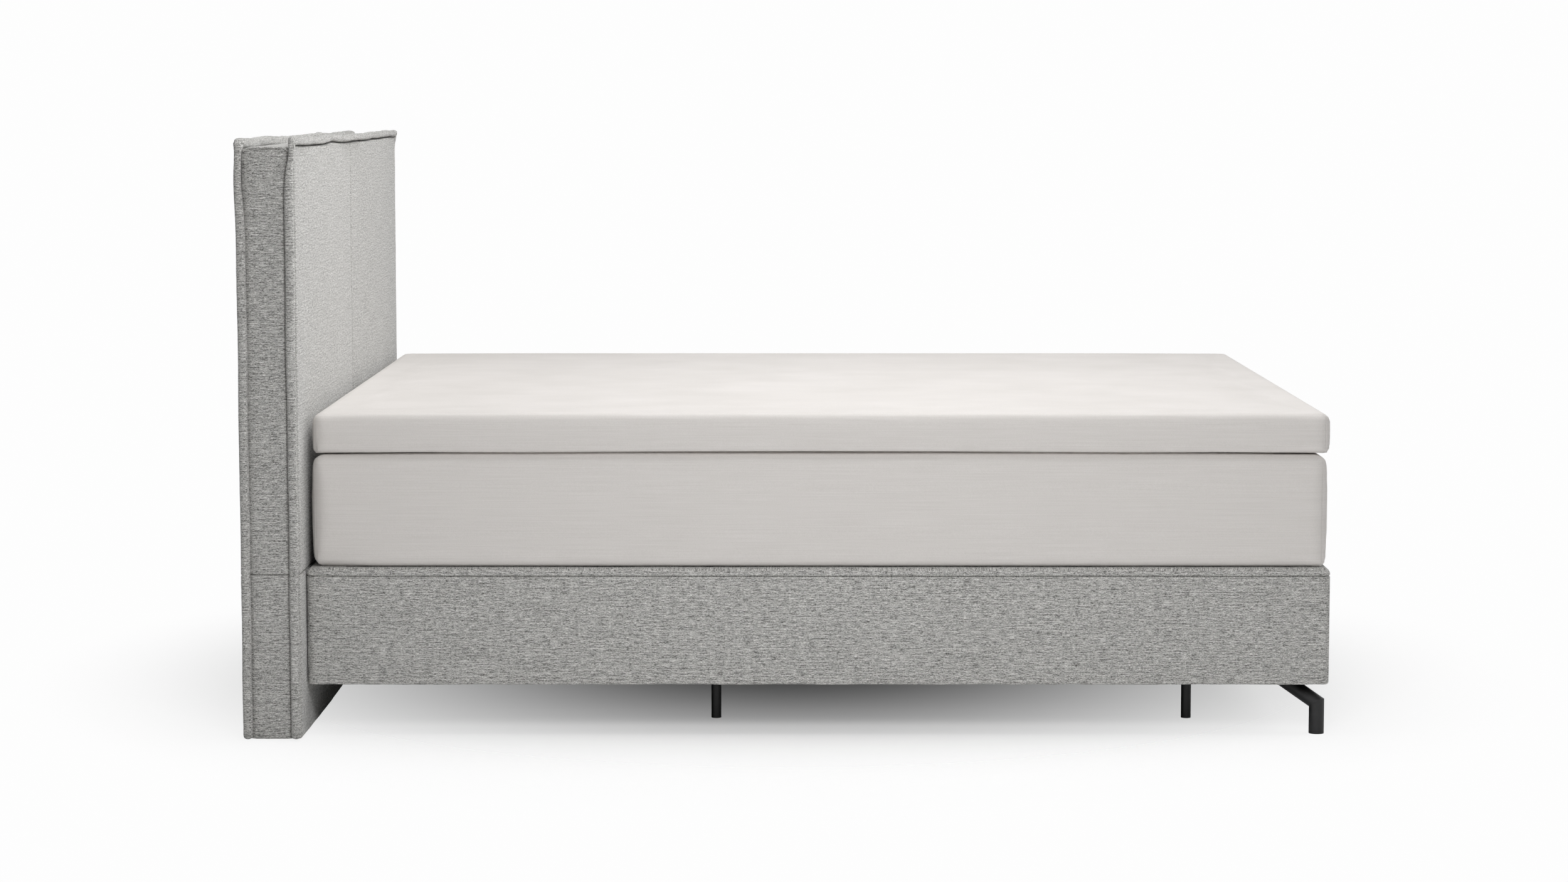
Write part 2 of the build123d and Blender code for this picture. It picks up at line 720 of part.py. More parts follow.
def cover_and_underside(outer, inner, rim, crown):
    """A cover that goes over the top and sides and turns in under the edge, and the panel that
    closes its underside inside that edge."""
    shell = outer - inner
    box = outer.bounding_box()
    x = (box.min.X + rim, box.max.X - rim)
    y = (box.min.Y + rim, box.max.Y - rim)
    panel_space = block(x, y, (box.min.Z - cut_overrun, box.min.Z + crown + cut_overrun))
    return shell - panel_space, shell & panel_space


def mattress():
    """Springs, foams and cover of the mattress."""
    inset = cover_thickness + foam_clearance
    form = mattress_form(inset)
    box = form.bounding_box()
    x = (box.min.X, box.max.X)
    y = (box.min.Y, box.max.Y)
    past_x = (x[0] - cut_overrun, x[1] + cut_overrun)
    past_y = (y[0] - cut_overrun, y[1] + cut_overrun)
    springs_low_z = mattress_low_z + inset + mattress_bottom_foam
    springs_high_z = mattress_edge_z - inset - mattress_top_foam
    springs_z = (springs_low_z, springs_high_z)
    strings = spring_strings(
        x[1] - x[0] - 2 * mattress_edge_foam_width,
        y[1] - y[0] - 2 * mattress_edge_foam_width,
        springs_high_z - springs_low_z,
        mattress_pocket_radius,
        (x[0] + x[1]) / 2,
        springs_low_z,
    )
    outer, inner = mattress_form(0), mattress_form(cover_thickness)
    cover, underside = cover_and_underside(outer, inner, mattress_bottom_radius, 0)
    return {
        "mattress_foam_bottom": form & block(past_x, past_y, (box.min.Z - cut_overrun, springs_low_z)),
        "mattress_edge_foam": edge_strips(form, mattress_edge_foam_width, x, y[1], springs_z),
        "mattress_spring_strings": strings,
        "mattress_foam_top": form & block(past_x, past_y, (springs_high_z, box.max.Z + cut_overrun)),
        "mattress_cover": cover,
        "mattress_cover_underside": underside,
    }


def topper():
    """Foam core and cover of the topper."""
    outer, inner = topper_form(0), topper_form(cover_thickness)
    cover, underside = cover_and_underside(outer, inner, topper_bottom_radius, mattress_crown)
    return {
        "topper_foam": topper_form(cover_thickness + foam_clearance),
        "topper_cover": cover,
        "topper_cover_underside": underside,
    }


pieces = {
    **headboard_frame(),
    **headboard_boards(),
    **headboard_front_padding(),
    **headboard_edges(),
    **headboard_back(),
    "headboard_welt_front": welt(headboard_front_x - welt_depth),
    "headboard_welt_back": welt(headboard_back_x),
    **headboard_hardware(),
    **base_frame(),
    **base_soft_layers(),
    **base_covers(),
    "base_threaded_inserts": threaded_inserts(),
    **support_posts(),
    **corner_legs(),
    **mattress(),
    **topper(),
}

os.makedirs("parts", exist_ok=True)
for name, piece in pieces.items():
    export_step(piece, f"parts/{name}.step")
print(len(pieces), "pieces")
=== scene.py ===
import json
import math

import bmesh
import bpy
from mathutils import Matrix, Vector, noise
from mathutils.bvhtree import BVHTree


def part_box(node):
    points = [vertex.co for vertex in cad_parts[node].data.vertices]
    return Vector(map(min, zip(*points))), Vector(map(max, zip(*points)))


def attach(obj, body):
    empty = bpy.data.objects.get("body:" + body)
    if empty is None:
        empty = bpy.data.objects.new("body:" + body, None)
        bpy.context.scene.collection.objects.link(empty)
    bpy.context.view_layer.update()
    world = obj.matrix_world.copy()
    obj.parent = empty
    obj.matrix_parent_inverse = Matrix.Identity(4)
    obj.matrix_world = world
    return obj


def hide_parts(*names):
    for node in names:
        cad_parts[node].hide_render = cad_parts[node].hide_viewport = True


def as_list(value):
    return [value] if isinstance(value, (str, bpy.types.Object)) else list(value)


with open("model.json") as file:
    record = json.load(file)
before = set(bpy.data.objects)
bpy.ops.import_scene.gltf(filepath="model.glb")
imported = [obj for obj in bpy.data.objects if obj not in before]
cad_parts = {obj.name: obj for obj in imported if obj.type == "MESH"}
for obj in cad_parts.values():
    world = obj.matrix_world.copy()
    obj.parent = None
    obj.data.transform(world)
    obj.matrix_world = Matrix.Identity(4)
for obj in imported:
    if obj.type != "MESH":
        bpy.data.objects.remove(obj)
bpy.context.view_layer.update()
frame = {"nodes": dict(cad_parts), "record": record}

# A box spring bed. Lengths are in metres. X runs from the headboard to the foot, Y from the left
# side to the right side, and Z is up. The photograph looks at the left side.
MM = 0.001
GREY = "grey melange upholstery"
KNIT = "pale knit ticking"
BLACK_CLOTH = "black nonwoven"
LEFT, RIGHT = -1, 1


def low_high(*nodes):
    """The lowest and highest corners of the box round several CAD nodes."""
    boxes = [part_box(node) for node in nodes]
    low = Vector([min(box[0][i] for box in boxes) for i in range(3)])
    high = Vector([max(box[1][i] for box in boxes) for i in range(3)])
    return low, high


# Places taken from the frame
welt_front_low, welt_front_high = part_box("headboard_welt_front")
face_x = welt_front_high.x
board_half = welt_front_high.y
board_top = welt_front_high.z
board_floor = welt_front_low.z
pad_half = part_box("headboard_cover_front_lower")[1].y
cross_seam_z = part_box("headboard_cover_front_left")[0].z
strip_low, strip_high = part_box("headboard_cover_side_right")
strip_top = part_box("headboard_cover_top")[1].z
back_low, back_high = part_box("headboard_cover_back")
base_low, base_high = low_high("base_cover_side", "base_cover_top")
base_seam_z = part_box("base_cover_side")[1].z
mattress_low, mattress_high = low_high("mattress_cover", "mattress_cover_underside")
topper_low, topper_high = low_high("topper_cover", "topper_cover_underside")

CLOTH = 1.5 * MM  # thickness of the grey cloth with its backing
SEAM_GAP = 0.3 * MM  # between two pieces that meet at a level seam


# Colours and material nodes

def linear(code):
    """The linear colour of an sRGB hex code."""
    levels = [int(code[i:i + 2], 16) / 255 for i in (1, 3, 5)]
    return [c / 12.92 if c <= 0.04045 else ((c + 0.055) / 1.055) ** 2.4 for c in levels] + [1.0]


def node(tree, kind, links=(), sockets=(), **settings):
    """Adds a shader node with its settings, its sockets' values and the links into it."""
    made = tree.nodes.new(kind)
    for key, value in settings.items():
        setattr(made, key, value)
    for key, value in dict(sockets).items():
        made.inputs[key].default_value = value
    for key, source in dict(links).items():
        tree.links.new(source, made.inputs[key])
    return made


def new_material(name, **surface):
    """A material with a Principled shader, and its node tree and shader node."""
    material = bpy.data.materials.new(name)
    material.use_nodes = True
    tree = material.node_tree
    shader = tree.nodes["Principled BSDF"]
    for key, value in surface.items():
        shader.inputs[key.replace("_", " ").title().replace("Ior", "IOR")].default_value = value
    return material, tree, shader


def ramp(tree, value, *stops):
    """A colour ramp through stops of (place, colour), fed by a value."""
    made = node(tree, "ShaderNodeValToRGB", {"Fac": value})
    elements = made.color_ramp.elements
    while len(elements) < len(stops):
        elements.new(0.5)
    for element, (place, colour) in zip(elements, stops):
        element.position = place
        element.color = colour
    return made.outputs["Color"]


def scaled(tree, place, lengths):
    """A coordinate divided by a pattern's real length along each axis, in millimetres."""
    scale = [1 / (length * MM) for length in lengths]
    return node(tree, "ShaderNodeMapping", {"Vector": place}, {"Scale": scale}).outputs["Vector"]


def spots(tree, place, lengths, detail, roughness):
    """Noise whose spots have about the given lengths, in millimetres."""
    settings = {"Scale": 1.0, "Detail": detail, "Roughness": roughness}
    links = {"Vector": scaled(tree, place, lengths)}
    return node(tree, "ShaderNodeTexNoise", links, settings).outputs["Fac"]


def cells(tree, place, size, randomness):
    """The distance from the middle of the nearest cell, for cells of a size in millimetres."""
    settings = {"Scale": 1.0, "Randomness": randomness}
    links = {"Vector": scaled(tree, place, (size,) * 3)}
    return node(tree, "ShaderNodeTexVoronoi", links, settings, feature="F1").outputs["Distance"]


def sum_of(tree, parts):
    """The sum of values, each times its weight."""
    total = None
    for value, weight in parts:
        links = {0: value} if total is None else {0: value, 2: total}
        operation = "MULTIPLY" if total is None else "MULTIPLY_ADD"
        total = node(tree, "ShaderNodeMath", links, {1: weight}, operation=operation).outputs[0]
    return total


def surfaced(material, tree, shader, colour, height, depth):
    """The material with its colour, and with bump from a height of 0 to 1 over a real depth."""
    tree.links.new(colour, shader.inputs["Base Color"])
    bump = node(tree, "ShaderNodeBump", {"Height": height}, {"Distance": depth, "Strength": 1.0})
    tree.links.new(bump.outputs["Normal"], shader.inputs["Normal"])
    return material


def object_coordinates(tree):
    """The piece's own coordinates in metres."""
    return node(tree, "ShaderNodeTexCoord").outputs["Object"]


def cloth_coordinates(tree):
    """The cloth's own coordinates in metres: along the weft, and along the warp."""
    return node(tree, "ShaderNodeUVMap", uv_map="cloth").outputs["UV"]


# Materials

def woven_polyester_melange():
    """Flat woven polyester of dark, middle and pale yarns. The eye sees dark and pale dashes along
    the weft, one or two yarns high, that line up in broken level lines."""
    material, tree, shader = new_material(
        "woven polyester melange", roughness=0.9, specular_ior_level=0.25,
        sheen_weight=0.3, sheen_roughness=0.4,
    )
    # The third coordinate of cloth is 0 everywhere, so its length changes nothing.
    cloth = cloth_coordinates(tree)
    rows = spots(tree, cloth, (140, 2.4, 1000), 2.0, 0.6)
    long_slubs = spots(tree, cloth, (18, 2.8, 1000), 2.0, 0.6)
    dashes = spots(tree, cloth, (5, 1.5, 1000), 2.0, 0.6)
    knots = spots(tree, cloth, (1.5, 1.3, 1000), 1.0, 0.5)
    yarn = sum_of(tree, [(rows, 0.11), (long_slubs, 0.25), (dashes, 0.31), (knots, 0.33)])
    colour = ramp(
        tree, yarn, (0.39, linear("#3E3D3A")), (0.45, linear("#7C7B78")),
        (0.5, linear("#B3B2AF")), (0.55, linear("#CECDCA")), (0.61, linear("#EDECE9")),
    )
    return surfaced(material, tree, shader, colour, yarn, 0.5 * MM)


def knit_ticking():
    """Fine circular knit of pale polyester. The eye sees an even warm white with faint lines along
    the courses."""
    material, tree, shader = new_material(
        "circular knit ticking", roughness=0.88, specular_ior_level=0.3,
        sheen_weight=0.08, sheen_roughness=0.4,
    )
    place = object_coordinates(tree)
    # The real courses are 0.8 mm apart. They are drawn 2.4 mm apart, so that they show.
    courses = spots(tree, place, (160, 160, 2.4), 2.0, 0.5)
    loops = spots(tree, place, (2.2, 2.2, 1.6), 2.0, 0.5)
    clouds = spots(tree, place, (90, 90, 60), 2.0, 0.5)
    yarn = sum_of(tree, [(courses, 0.5), (loops, 0.46), (clouds, 0.04)])
    colour = ramp(tree, yarn, (0.3, linear("#D5D1CD")), (0.7, linear("#E2DEDB")))
    return surfaced(material, tree, shader, colour, yarn, 0.5 * MM)


def open_cell_foam():
    """Open cell polyurethane foam, cut from a block. The eye sees a matt cream with fine pores."""
    material, tree, shader = new_material("open cell foam", roughness=0.95, specular_ior_level=0.2)
    pores = cells(tree, object_coordinates(tree), 1.6, 1.0)
    colour = ramp(tree, pores, (0.1, linear("#CFC493")), (0.6, linear("#EFE6BE")))
    return surfaced(material, tree, shader, colour, pores, 0.6 * MM)


def bonded_fleece(name, dark, pale):
    """Spunbonded polypropylene fleece, welded in small points. The eye sees rows of tiny dents."""
    material, tree, shader = new_material(name, roughness=0.8, specular_ior_level=0.35)
    place = object_coordinates(tree)
    dents = cells(tree, place, 2.5, 0.15)
    fibres = spots(tree, place, (7, 1.4, 3), 3.0, 0.6)
    height = sum_of(tree, [(dents, 0.6), (fibres, 0.4)])
    colour = ramp(tree, height, (0.2, linear(dark)), (0.65, linear(pale)))
    return surfaced(material, tree, shader, colour, height, 0.4 * MM)


def needled_felt():
    """Felt needled from mixed waste fibres. The eye sees a matt grey with coloured flecks."""
    material, tree, shader = new_material("needled felt", roughness=1.0, specular_ior_level=0.1)
    place = object_coordinates(tree)
    fibres = spots(tree, place, (4, 4, 1.5), 5.0, 0.7)
    colour = ramp(
        tree, fibres, (0.35, linear("#4E4D4B")), (0.5, linear("#75726D")), (0.66, linear("#A39F98")),
    )
    return surfaced(material, tree, shader, colour, fibres, 1.2 * MM)


def planed_spruce(name, grain_axis):
    """Planed spruce, unfinished. The eye sees straight grain along the piece, paler early wood and
    a few darker rings."""
    material, tree, shader = new_material(name, roughness=0.7, specular_ior_level=0.35)
    ring_lengths, fibre_lengths = [7, 7, 7], [1.1, 1.1, 1.1]
    ring_lengths[grain_axis], fibre_lengths[grain_axis] = 420, 30
    place = object_coordinates(tree)
    rings = spots(tree, place, ring_lengths, 3.0, 0.55)
    fibres = spots(tree, place, fibre_lengths, 2.0, 0.5)
    grain = sum_of(tree, [(rings, 0.7), (fibres, 0.3)])
    colour = ramp(
        tree, grain, (0.34, linear("#B98A54")), (0.48, linear("#DDB981")), (0.62, linear("#EBD0A0")),
    )
    return surfaced(material, tree, shader, colour, grain, 0.3 * MM)


def pressed_hardboard():
    """Hardboard pressed from brown wood fibre. The eye sees a smooth brown with darker fibres."""
    material, tree, shader = new_material("pressed hardboard", roughness=0.6, specular_ior_level=0.4)
    place = object_coordinates(tree)
    fibres = spots(tree, place, (3, 5, 3), 4.0, 0.65)
    colour = ramp(tree, fibres, (0.35, linear("#6B4A2E")), (0.65, linear("#A67C52")))
    return surfaced(material, tree, shader, colour, fibres, 0.2 * MM)


def powder_coated_steel():
    """Steel with a baked black powder coat. The eye sees a satin black with a fine orange peel."""
    material, tree, shader = new_material("black powder coat", specular_ior_level=0.5)
    place = object_coordinates(tree)
    peel = spots(tree, place, (1.3,) * 3, 2.0, 0.5)
    dust = spots(tree, place, (18,) * 3, 3.0, 0.6)
    colour = ramp(tree, dust, (0.35, linear("#0D0D0E")), (0.7, linear("#1B1B1C")))
    gloss = ramp(tree, dust, (0.3, (0.38,) * 3 + (1,)), (0.7, (0.5,) * 3 + (1,)))
    tree.links.new(gloss, shader.inputs["Roughness"])
    return surfaced(material, tree, shader, colour, peel, 0.12 * MM)


def zinc_plated_steel():
    """Turned steel with bright zinc plating. The eye sees a cool metal with a faint bloom."""
    material, tree, shader = new_material("bright zinc plate", metallic=1.0)
    place = object_coordinates(tree)
    bloom = spots(tree, place, (5,) * 3, 3.0, 0.6)
    colour = ramp(tree, bloom, (0.3, linear("#A9ADB2")), (0.7, linear("#D4D6D8")))
    gloss = ramp(tree, bloom, (0.3, (0.25,) * 3 + (1,)), (0.7, (0.42,) * 3 + (1,)))
    tree.links.new(gloss, shader.inputs["Roughness"])
    return surfaced(material, tree, shader, colour, bloom, 0.05 * MM)


def moulded_polypropylene():
    """Injection moulded black polypropylene. The eye sees a dull black with a spark eroded grain."""
    material, tree, shader = new_material("moulded polypropylene", roughness=0.55, ior=1.49)
    place = object_coordinates(tree)
    grain = spots(tree, place, (0.9,) * 3, 2.0, 0.5)
    colour = ramp(tree, grain, (0.35, linear("#111112")), (0.65, linear("#1E1E1F")))
    return surfaced(material, tree, shader, colour, grain, 0.1 * MM)


melange = woven_polyester_melange()
ticking = knit_ticking()
black_fleece = bonded_fleece("black spunbond fleece", "#0E0E0F", "#2A2A2B")
zinc = zinc_plated_steel()
SLOT_FINISHES = {
    "upholstery foam": open_cell_foam(),
    "spring pocket nonwoven": bonded_fleece("white spunbond fleece", "#C9CAC8", "#F0F0EE"),
    "needled felt": needled_felt(),
    "fibreboard": pressed_hardboard(),
    "black powder coated steel": powder_coated_steel(),
    "zinc plated steel": zinc,
    "black polypropylene": moulded_polypropylene(),
    GREY: melange,
    KNIT: ticking,
    BLACK_CLOTH: black_fleece,
}
SPRUCE = [planed_spruce(f"planed spruce along {axis}", i) for i, axis in enumerate("XYZ")]


def finish_cad_nodes():
    """Gives every CAD node the finish of its slot. Wood takes the grain along its longest side."""
    for part in frame["record"]["subparts"]:
        mesh = frame["nodes"][part["node"]].data
        if part["material_slot"] == "softwood":
            low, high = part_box(part["node"])
            size = list(high - low)
            finish = SPRUCE[size.index(max(size))]
        else:
            finish = SLOT_FINISHES[part["material_slot"]]
        mesh.materials.clear()
        mesh.materials.append(finish)


# Mesh helpers

def stations(low, high, finest, coarsest, growth=1.4):
    """Places from low to high, close together at both ends and further apart between them."""
    half = (high - low) / 2
    reach, step = 0.0, finest
    steps = [reach]
    while reach + step < half:
        reach += step
        steps.append(reach)
        step = min(step * growth, coarsest)
    steps = [s * half / reach for s in steps]
    return [low + s for s in steps] + [high - s for s in reversed(steps[:-1])]


def grid(us, vs, place):
    """A sheet of quads with its corners at place(u, v)."""
    bm = bmesh.new()
    bmesh.ops.create_grid(bm, x_segments=len(us) - 1, y_segments=len(vs) - 1, size=1)
    for vertex in bm.verts:
        i = round((vertex.co.x + 1) / 2 * (len(us) - 1))
        j = round((vertex.co.y + 1) / 2 * (len(vs) - 1))
        vertex.co = place(us[i], vs[j])
    return bm


def facing(bm, direction):
    """Turns the sheet's faces so that most of them face a direction."""
    bm.normal_update()
    towards = sum(face.normal.dot(direction) * face.calc_area() for face in bm.faces)
    if towards < 0:
        bmesh.ops.reverse_faces(bm, faces=bm.faces)
    return bm


def thickened(bm, thickness):
    """Gives a sheet its cloth's thickness, inwards."""
    bm.normal_update()
    bmesh.ops.solidify(bm, geom=bm.faces, thickness=thickness)
    return bm


def lay_cloth(bm):
    """Lays the cloth's coordinates on a piece: the weft runs level on upright faces, and across
    the bed on level ones."""
    layer = bm.loops.layers.uv.new("cloth")
    bm.normal_update()
    for face in bm.faces:
        normal = [abs(c) for c in face.normal]
        axis = normal.index(max(normal))
        for loop in face.loops:
            x, y, z = loop.vert.co
            loop[layer].uv = ((y, z), (x, z), (y, x))[axis]


def add_piece(name, bm, material, body, replaces, uv=True):
    """Makes a finished piece of the bed from its mesh."""
    if uv:
        lay_cloth(bm)
    mesh = bpy.data.meshes.new(name)
    bm.to_mesh(mesh)
    bm.free()
    mesh.polygons.foreach_set("use_smooth", [True] * len(mesh.polygons))
    piece = bpy.data.objects.new(name, mesh)
    bpy.context.scene.collection.objects.link(piece)
    mesh.materials.append(material)
    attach(piece, body)
    if replaces:
        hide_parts(*replaces)
    return piece


def padded_cover(name, bm, replaces):
    """A padded piece in the grey cloth, on the bed itself."""
    return add_piece(name, bm, melange, "bed", replaces)


def eased(t):
    """0 to 1 with a soft start and end."""
    t = min(max(t, 0.0), 1.0)
    return t * t * (3 - 2 * t)


def rolled(distance, radius, depth):
    """How far a padded edge turns in: the depth at the edge itself, and nothing past the radius."""
    t = min(max(1 - distance / radius, 0.0), 1.0)
    return depth * (1 - math.sqrt(1 - t * t))


def wave(place, length, seed):
    """Smooth noise from about -1 to 1 along a line, with bumps about one length apart. The seed
    picks one of many such waves."""
    return 1.6 * noise.noise(Vector((place / length, seed, 0.0)))


def wave2(u, v, length, seed):
    """Smooth noise from about -1 to 1 over a surface."""
    return 1.6 * noise.noise(Vector((u / length, v / length, seed)))


def tube_wave(s, angle, length, seed):
    """Smooth noise from about -1 to 1 over a tube of about a welt's size, closed round it."""
    across = 8 * MM / length
    start = 7.3 * seed
    spot = (s / length + start, across * math.cos(angle), across * math.sin(angle))
    return 1.6 * noise.noise(Vector(spot))


def through(points, place):
    """A smooth line through given points of (place, value)."""
    for (a, low), (b, high) in zip(points, points[1:]):
        if place <= b:
            return low + (high - low) * eased((place - a) / (b - a))
    return points[-1][1]


# Headboard: front

FACE_LIFT = 2.2 * MM  # how far the face stands proud of its solid
FACE_CROWN = 4.0 * MM  # how far each upper panel bulges in its middle
SEAM_ROLL = 3.4 * MM  # how deep the panels turn in at their seams


def face_panel(name, y0, y1, z0, z1, top_open, replaces):
    """One panel of the front cover. Its edges roll into the seams. Where its top is open, the top
    edge turns back under the front welt and follows its waves."""
    outer = board_half - 30 * MM
    tuck_end = face_x - 6 * MM

    def seam_roll(distance, y):
        """The roll by the side welts, or the wider one into the centre seam."""
        if abs(y) > outer:
            return rolled(distance, 5 * MM, SEAM_ROLL)
        return rolled(distance, 8 * MM, 3.7 * MM)

    def place(y, z):
        side = min(y - y0, y1 - y)
        bottom = z - z0
        x = face_x + FACE_LIFT + FACE_CROWN * math.sin(math.pi * abs(y) / board_half)
        x += 0.7 * MM * wave2(y, z, 260 * MM, 3.0) + 0.3 * MM * wave2(y, z, 60 * MM, 5.0)
        x += 0.4 * MM * wave(z, 10 * MM, y0) * math.exp(-side / (8 * MM)) - seam_roll(side, y)
        if top_open:
            x -= rolled(bottom, 6 * MM, SEAM_ROLL)
            x += 0.4 * MM * wave(y, 12 * MM, 7.0) * math.exp(-bottom / (9 * MM))
            corner = math.hypot(max(side - 4 * MM, 0.0), z1 - z)
            x -= rolled(z1 - z, 3 * MM, x - tuck_end) + rolled(corner, 14 * MM, 4 * MM)
            z += roll_lift(FRONT_ROLL_SHARES, y) * eased((z - z1 + 80 * MM) / (70 * MM))
        else:
            x -= rolled(z1 - z, 6 * MM, SEAM_ROLL) + rolled(bottom, 6 * MM, 6 * MM)
        return Vector((max(x, tuck_end), y, z))

    us = stations(y0, y1, 0.8 * MM, 20 * MM)
    vs = stations(z0, z1, 0.8 * MM, 20 * MM)
    bm = thickened(facing(grid(us, vs, place), Vector((1, 0, 0))), CLOTH)
    return padded_cover(name, bm, replaces)


def headboard_front():
    """The front cover: two upper panels that meet at the centre seam, and a lower one."""
    half = board_half - 14 * MM
    top = board_top - 18 * MM
    seam = SEAM_GAP / 2
    for word, y0, y1 in (("left", -half, -seam), ("right", seam, half)):
        replaces = [f"headboard_cover_front_{word}"]
        face_panel(f"headboard_front_{word}", y0, y1, cross_seam_z, top, True, replaces)
    name, low_edge = "headboard_front_lower", cross_seam_z - SEAM_GAP
    face_panel(name, -half, half, board_floor, low_edge, False, ["headboard_cover_front_lower"])


# Headboard: welts

WELT_CORNER = 10 * MM


def welt_line(s, half, top, floor):
    """The welt's centre line in Y and Z at a length s from its left foot, and the direction that
    points out of it."""
    up = top - WELT_CORNER - floor
    bend = WELT_CORNER * math.pi / 2
    across = 2 * (half - WELT_CORNER)
    if s <= up:
        return (-half, floor + s), (-1.0, 0.0)
    if s >= up + 2 * bend + across:
        return (half, floor + 2 * up + 2 * bend + across - s), (1.0, 0.0)
    if up + bend < s < up + bend + across:
        return (-half + WELT_CORNER + s - up - bend, top), (0.0, 1.0)
    if s <= up + bend:
        angle, middle = math.pi - (s - up) / WELT_CORNER, -half + WELT_CORNER
    else:
        angle, middle = math.pi / 2 - (s - up - bend - across) / WELT_CORNER, half - WELT_CORNER
    out = (math.cos(angle), math.sin(angle))
    return (middle + WELT_CORNER * out[0], top - WELT_CORNER + WELT_CORNER * out[1]), out


def roll_lift(shares, y):
    """How far a roll on top of the headboard stands above its middle height."""
    return through(shares, y / board_half) * MM


def groove_share(from_top, narrow):
    """How much of its thinning a welt has at a distance below its top corner, from 0 to 1."""
    return eased((narrow - from_top) / narrow)


WELT_HALF = 10 * MM  # half of the welt's width, seen from the front
WELT_END = 7 * MM  # over which its feet close


def make_welt(name, node_name, groove, lifts, roll, drop, forward, narrow, thin_shares, lean, seed):
    """A stuffed welt up one side of the headboard, over its top and down the other side. On top
    it is a loose roll that waves up and down by listed lifts. At its corners the cloth is
    gathered, and the welt is thinner there by two shares: below the corner, over the narrow
    length, and along the top.

    groove is +1 where the strips lie in front of the welt, or -1 where they lie behind it. roll is
    half the height and half the depth of the roll on top. drop is how far its middle line lies
    below the headboard's top, and forward how far it lies before the upright welt. lean moves the
    welt along X just under its corners."""
    low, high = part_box(node_name)
    middle_x, half_x = (low.x + high.x) / 2, (high.x - low.x) / 2
    roll_n, roll_x = roll
    half = board_half - WELT_HALF
    top = board_top - drop
    up = top - WELT_CORNER - board_floor
    bend = WELT_CORNER * math.pi / 2
    length = 2 * up + 2 * bend + 2 * (half - WELT_CORNER)
    seam_s = cross_seam_z - board_floor

    def place(s, angle):
        (y, z), (ny, nz) = welt_line(s, half, top, board_floor)
        from_foot = min(s, length - s)
        near_top = eased((from_foot - up + 14 * MM) / (30 * MM))
        below_top = 1 - near_top
        gather = math.exp(-((from_foot - up - bend / 2) / (17 * MM)) ** 2)
        thin = thin_shares[0] * groove_share(up - from_foot, narrow) * below_top
        thin += thin_shares[1] * (1 - eased((from_foot - up - bend) / (90 * MM))) * near_top
        puff = forward * 0.6 * eased((from_foot - up + 45 * MM) / (45 * MM)) * below_top
        n_size = WELT_HALF + (roll_n - WELT_HALF) * near_top
        x_size = (half_x + (roll_x - half_x) * near_top) * (1 - thin)
        n_size *= 1 + 0.09 * wave(s, 60 * MM, seed) * near_top
        x_size *= 1 + 0.08 * wave(s, 55 * MM, seed + 2) * near_top + 0.04 * gather
        # The section is a superellipse, a little squarer than an ellipse
        power = 2.6 + 0.2 * near_top
        c, d = math.cos(angle), math.sin(angle)
        r = (abs(c) ** power + abs(d) ** power) ** (-1 / power)
        folds = 0.45 * MM * tube_wave(s, angle, 15 * MM, seed + 4) * (0.35 + 0.65 * near_top)
        folds += 0.6 * MM * near_top * tube_wave(s * 0.12, angle, 5 * MM, seed + 5)
        folds += 1.3 * MM * gather * tube_wave(s, angle, 4.5 * MM, seed + 6)
        folds -= 1.1 * MM * math.exp(-((from_foot - seam_s) / (1.6 * MM)) ** 2)
        cap = 1.0
        if from_foot < WELT_END:
            cap = math.sqrt(max(1 - (1 - from_foot / WELT_END) ** 2, 0.02))
        a = (n_size * c * r + folds * c) * cap
        b = (x_size * d * r + folds * d) * cap
        if c < 0:
            # On top, a thin stem goes down from the roll between the covers
            stem = max(1 - abs(b + 0.9 * forward) / (3.4 * MM), 0.0)
            a -= 9 * MM * near_top * math.sqrt(stem)
        x = middle_x + b - groove * half_x * thin + forward * near_top + puff
        x += 1.0 * MM * wave(s, 170 * MM, seed + 8) * below_top
        x += lean * math.exp(-((from_foot - up + 65 * MM) / (60 * MM)) ** 2)
        x += 1.6 * MM * wave(s, 110 * MM, seed + 9) * near_top
        return Vector((x, y + ny * a, z + nz * a + roll_lift(lifts, y) * near_top))

    # Stations along the welt: close together at its feet, by the cross seam and at its corners
    ends = stations(0, 2 * WELT_END, 0.5 * MM, 3 * MM)
    between = length - 4 * WELT_END
    count = int(between / (5.5 * MM))
    us = ends + [2 * WELT_END + between * i / count for i in range(1, count)]
    us += [length - 2 * WELT_END + e for e in ends]
    near_seam = [seam_s + step * MM for step in (-3.2, -1.6, -0.8, 0.0, 0.8, 1.6, 3.2)]
    near_corner = [up - 24 * MM + 1.4 * MM * i for i in range(48)]
    for low_s, high_s, room in ((seam_s, seam_s, 5 * MM), (near_corner[0], near_corner[-1], 2 * MM)):
        us = [s for s in us if not low_s - room < min(s, length - s) < high_s + room]
    near = near_seam + near_corner
    us = sorted(us + near + [length - s for s in near])
    sides = 32
    vs = [2 * math.pi * i / sides for i in range(sides + 1)]
    bm = grid(us, vs, place)
    bmesh.ops.remove_doubles(bm, verts=bm.verts, dist=0.02 * MM)
    rims = [edge for edge in bm.edges if edge.is_boundary]
    bmesh.ops.holes_fill(bm, edges=rims)
    bmesh.ops.recalc_face_normals(bm, faces=bm.faces)
    return padded_cover(name, bm, [node_name])


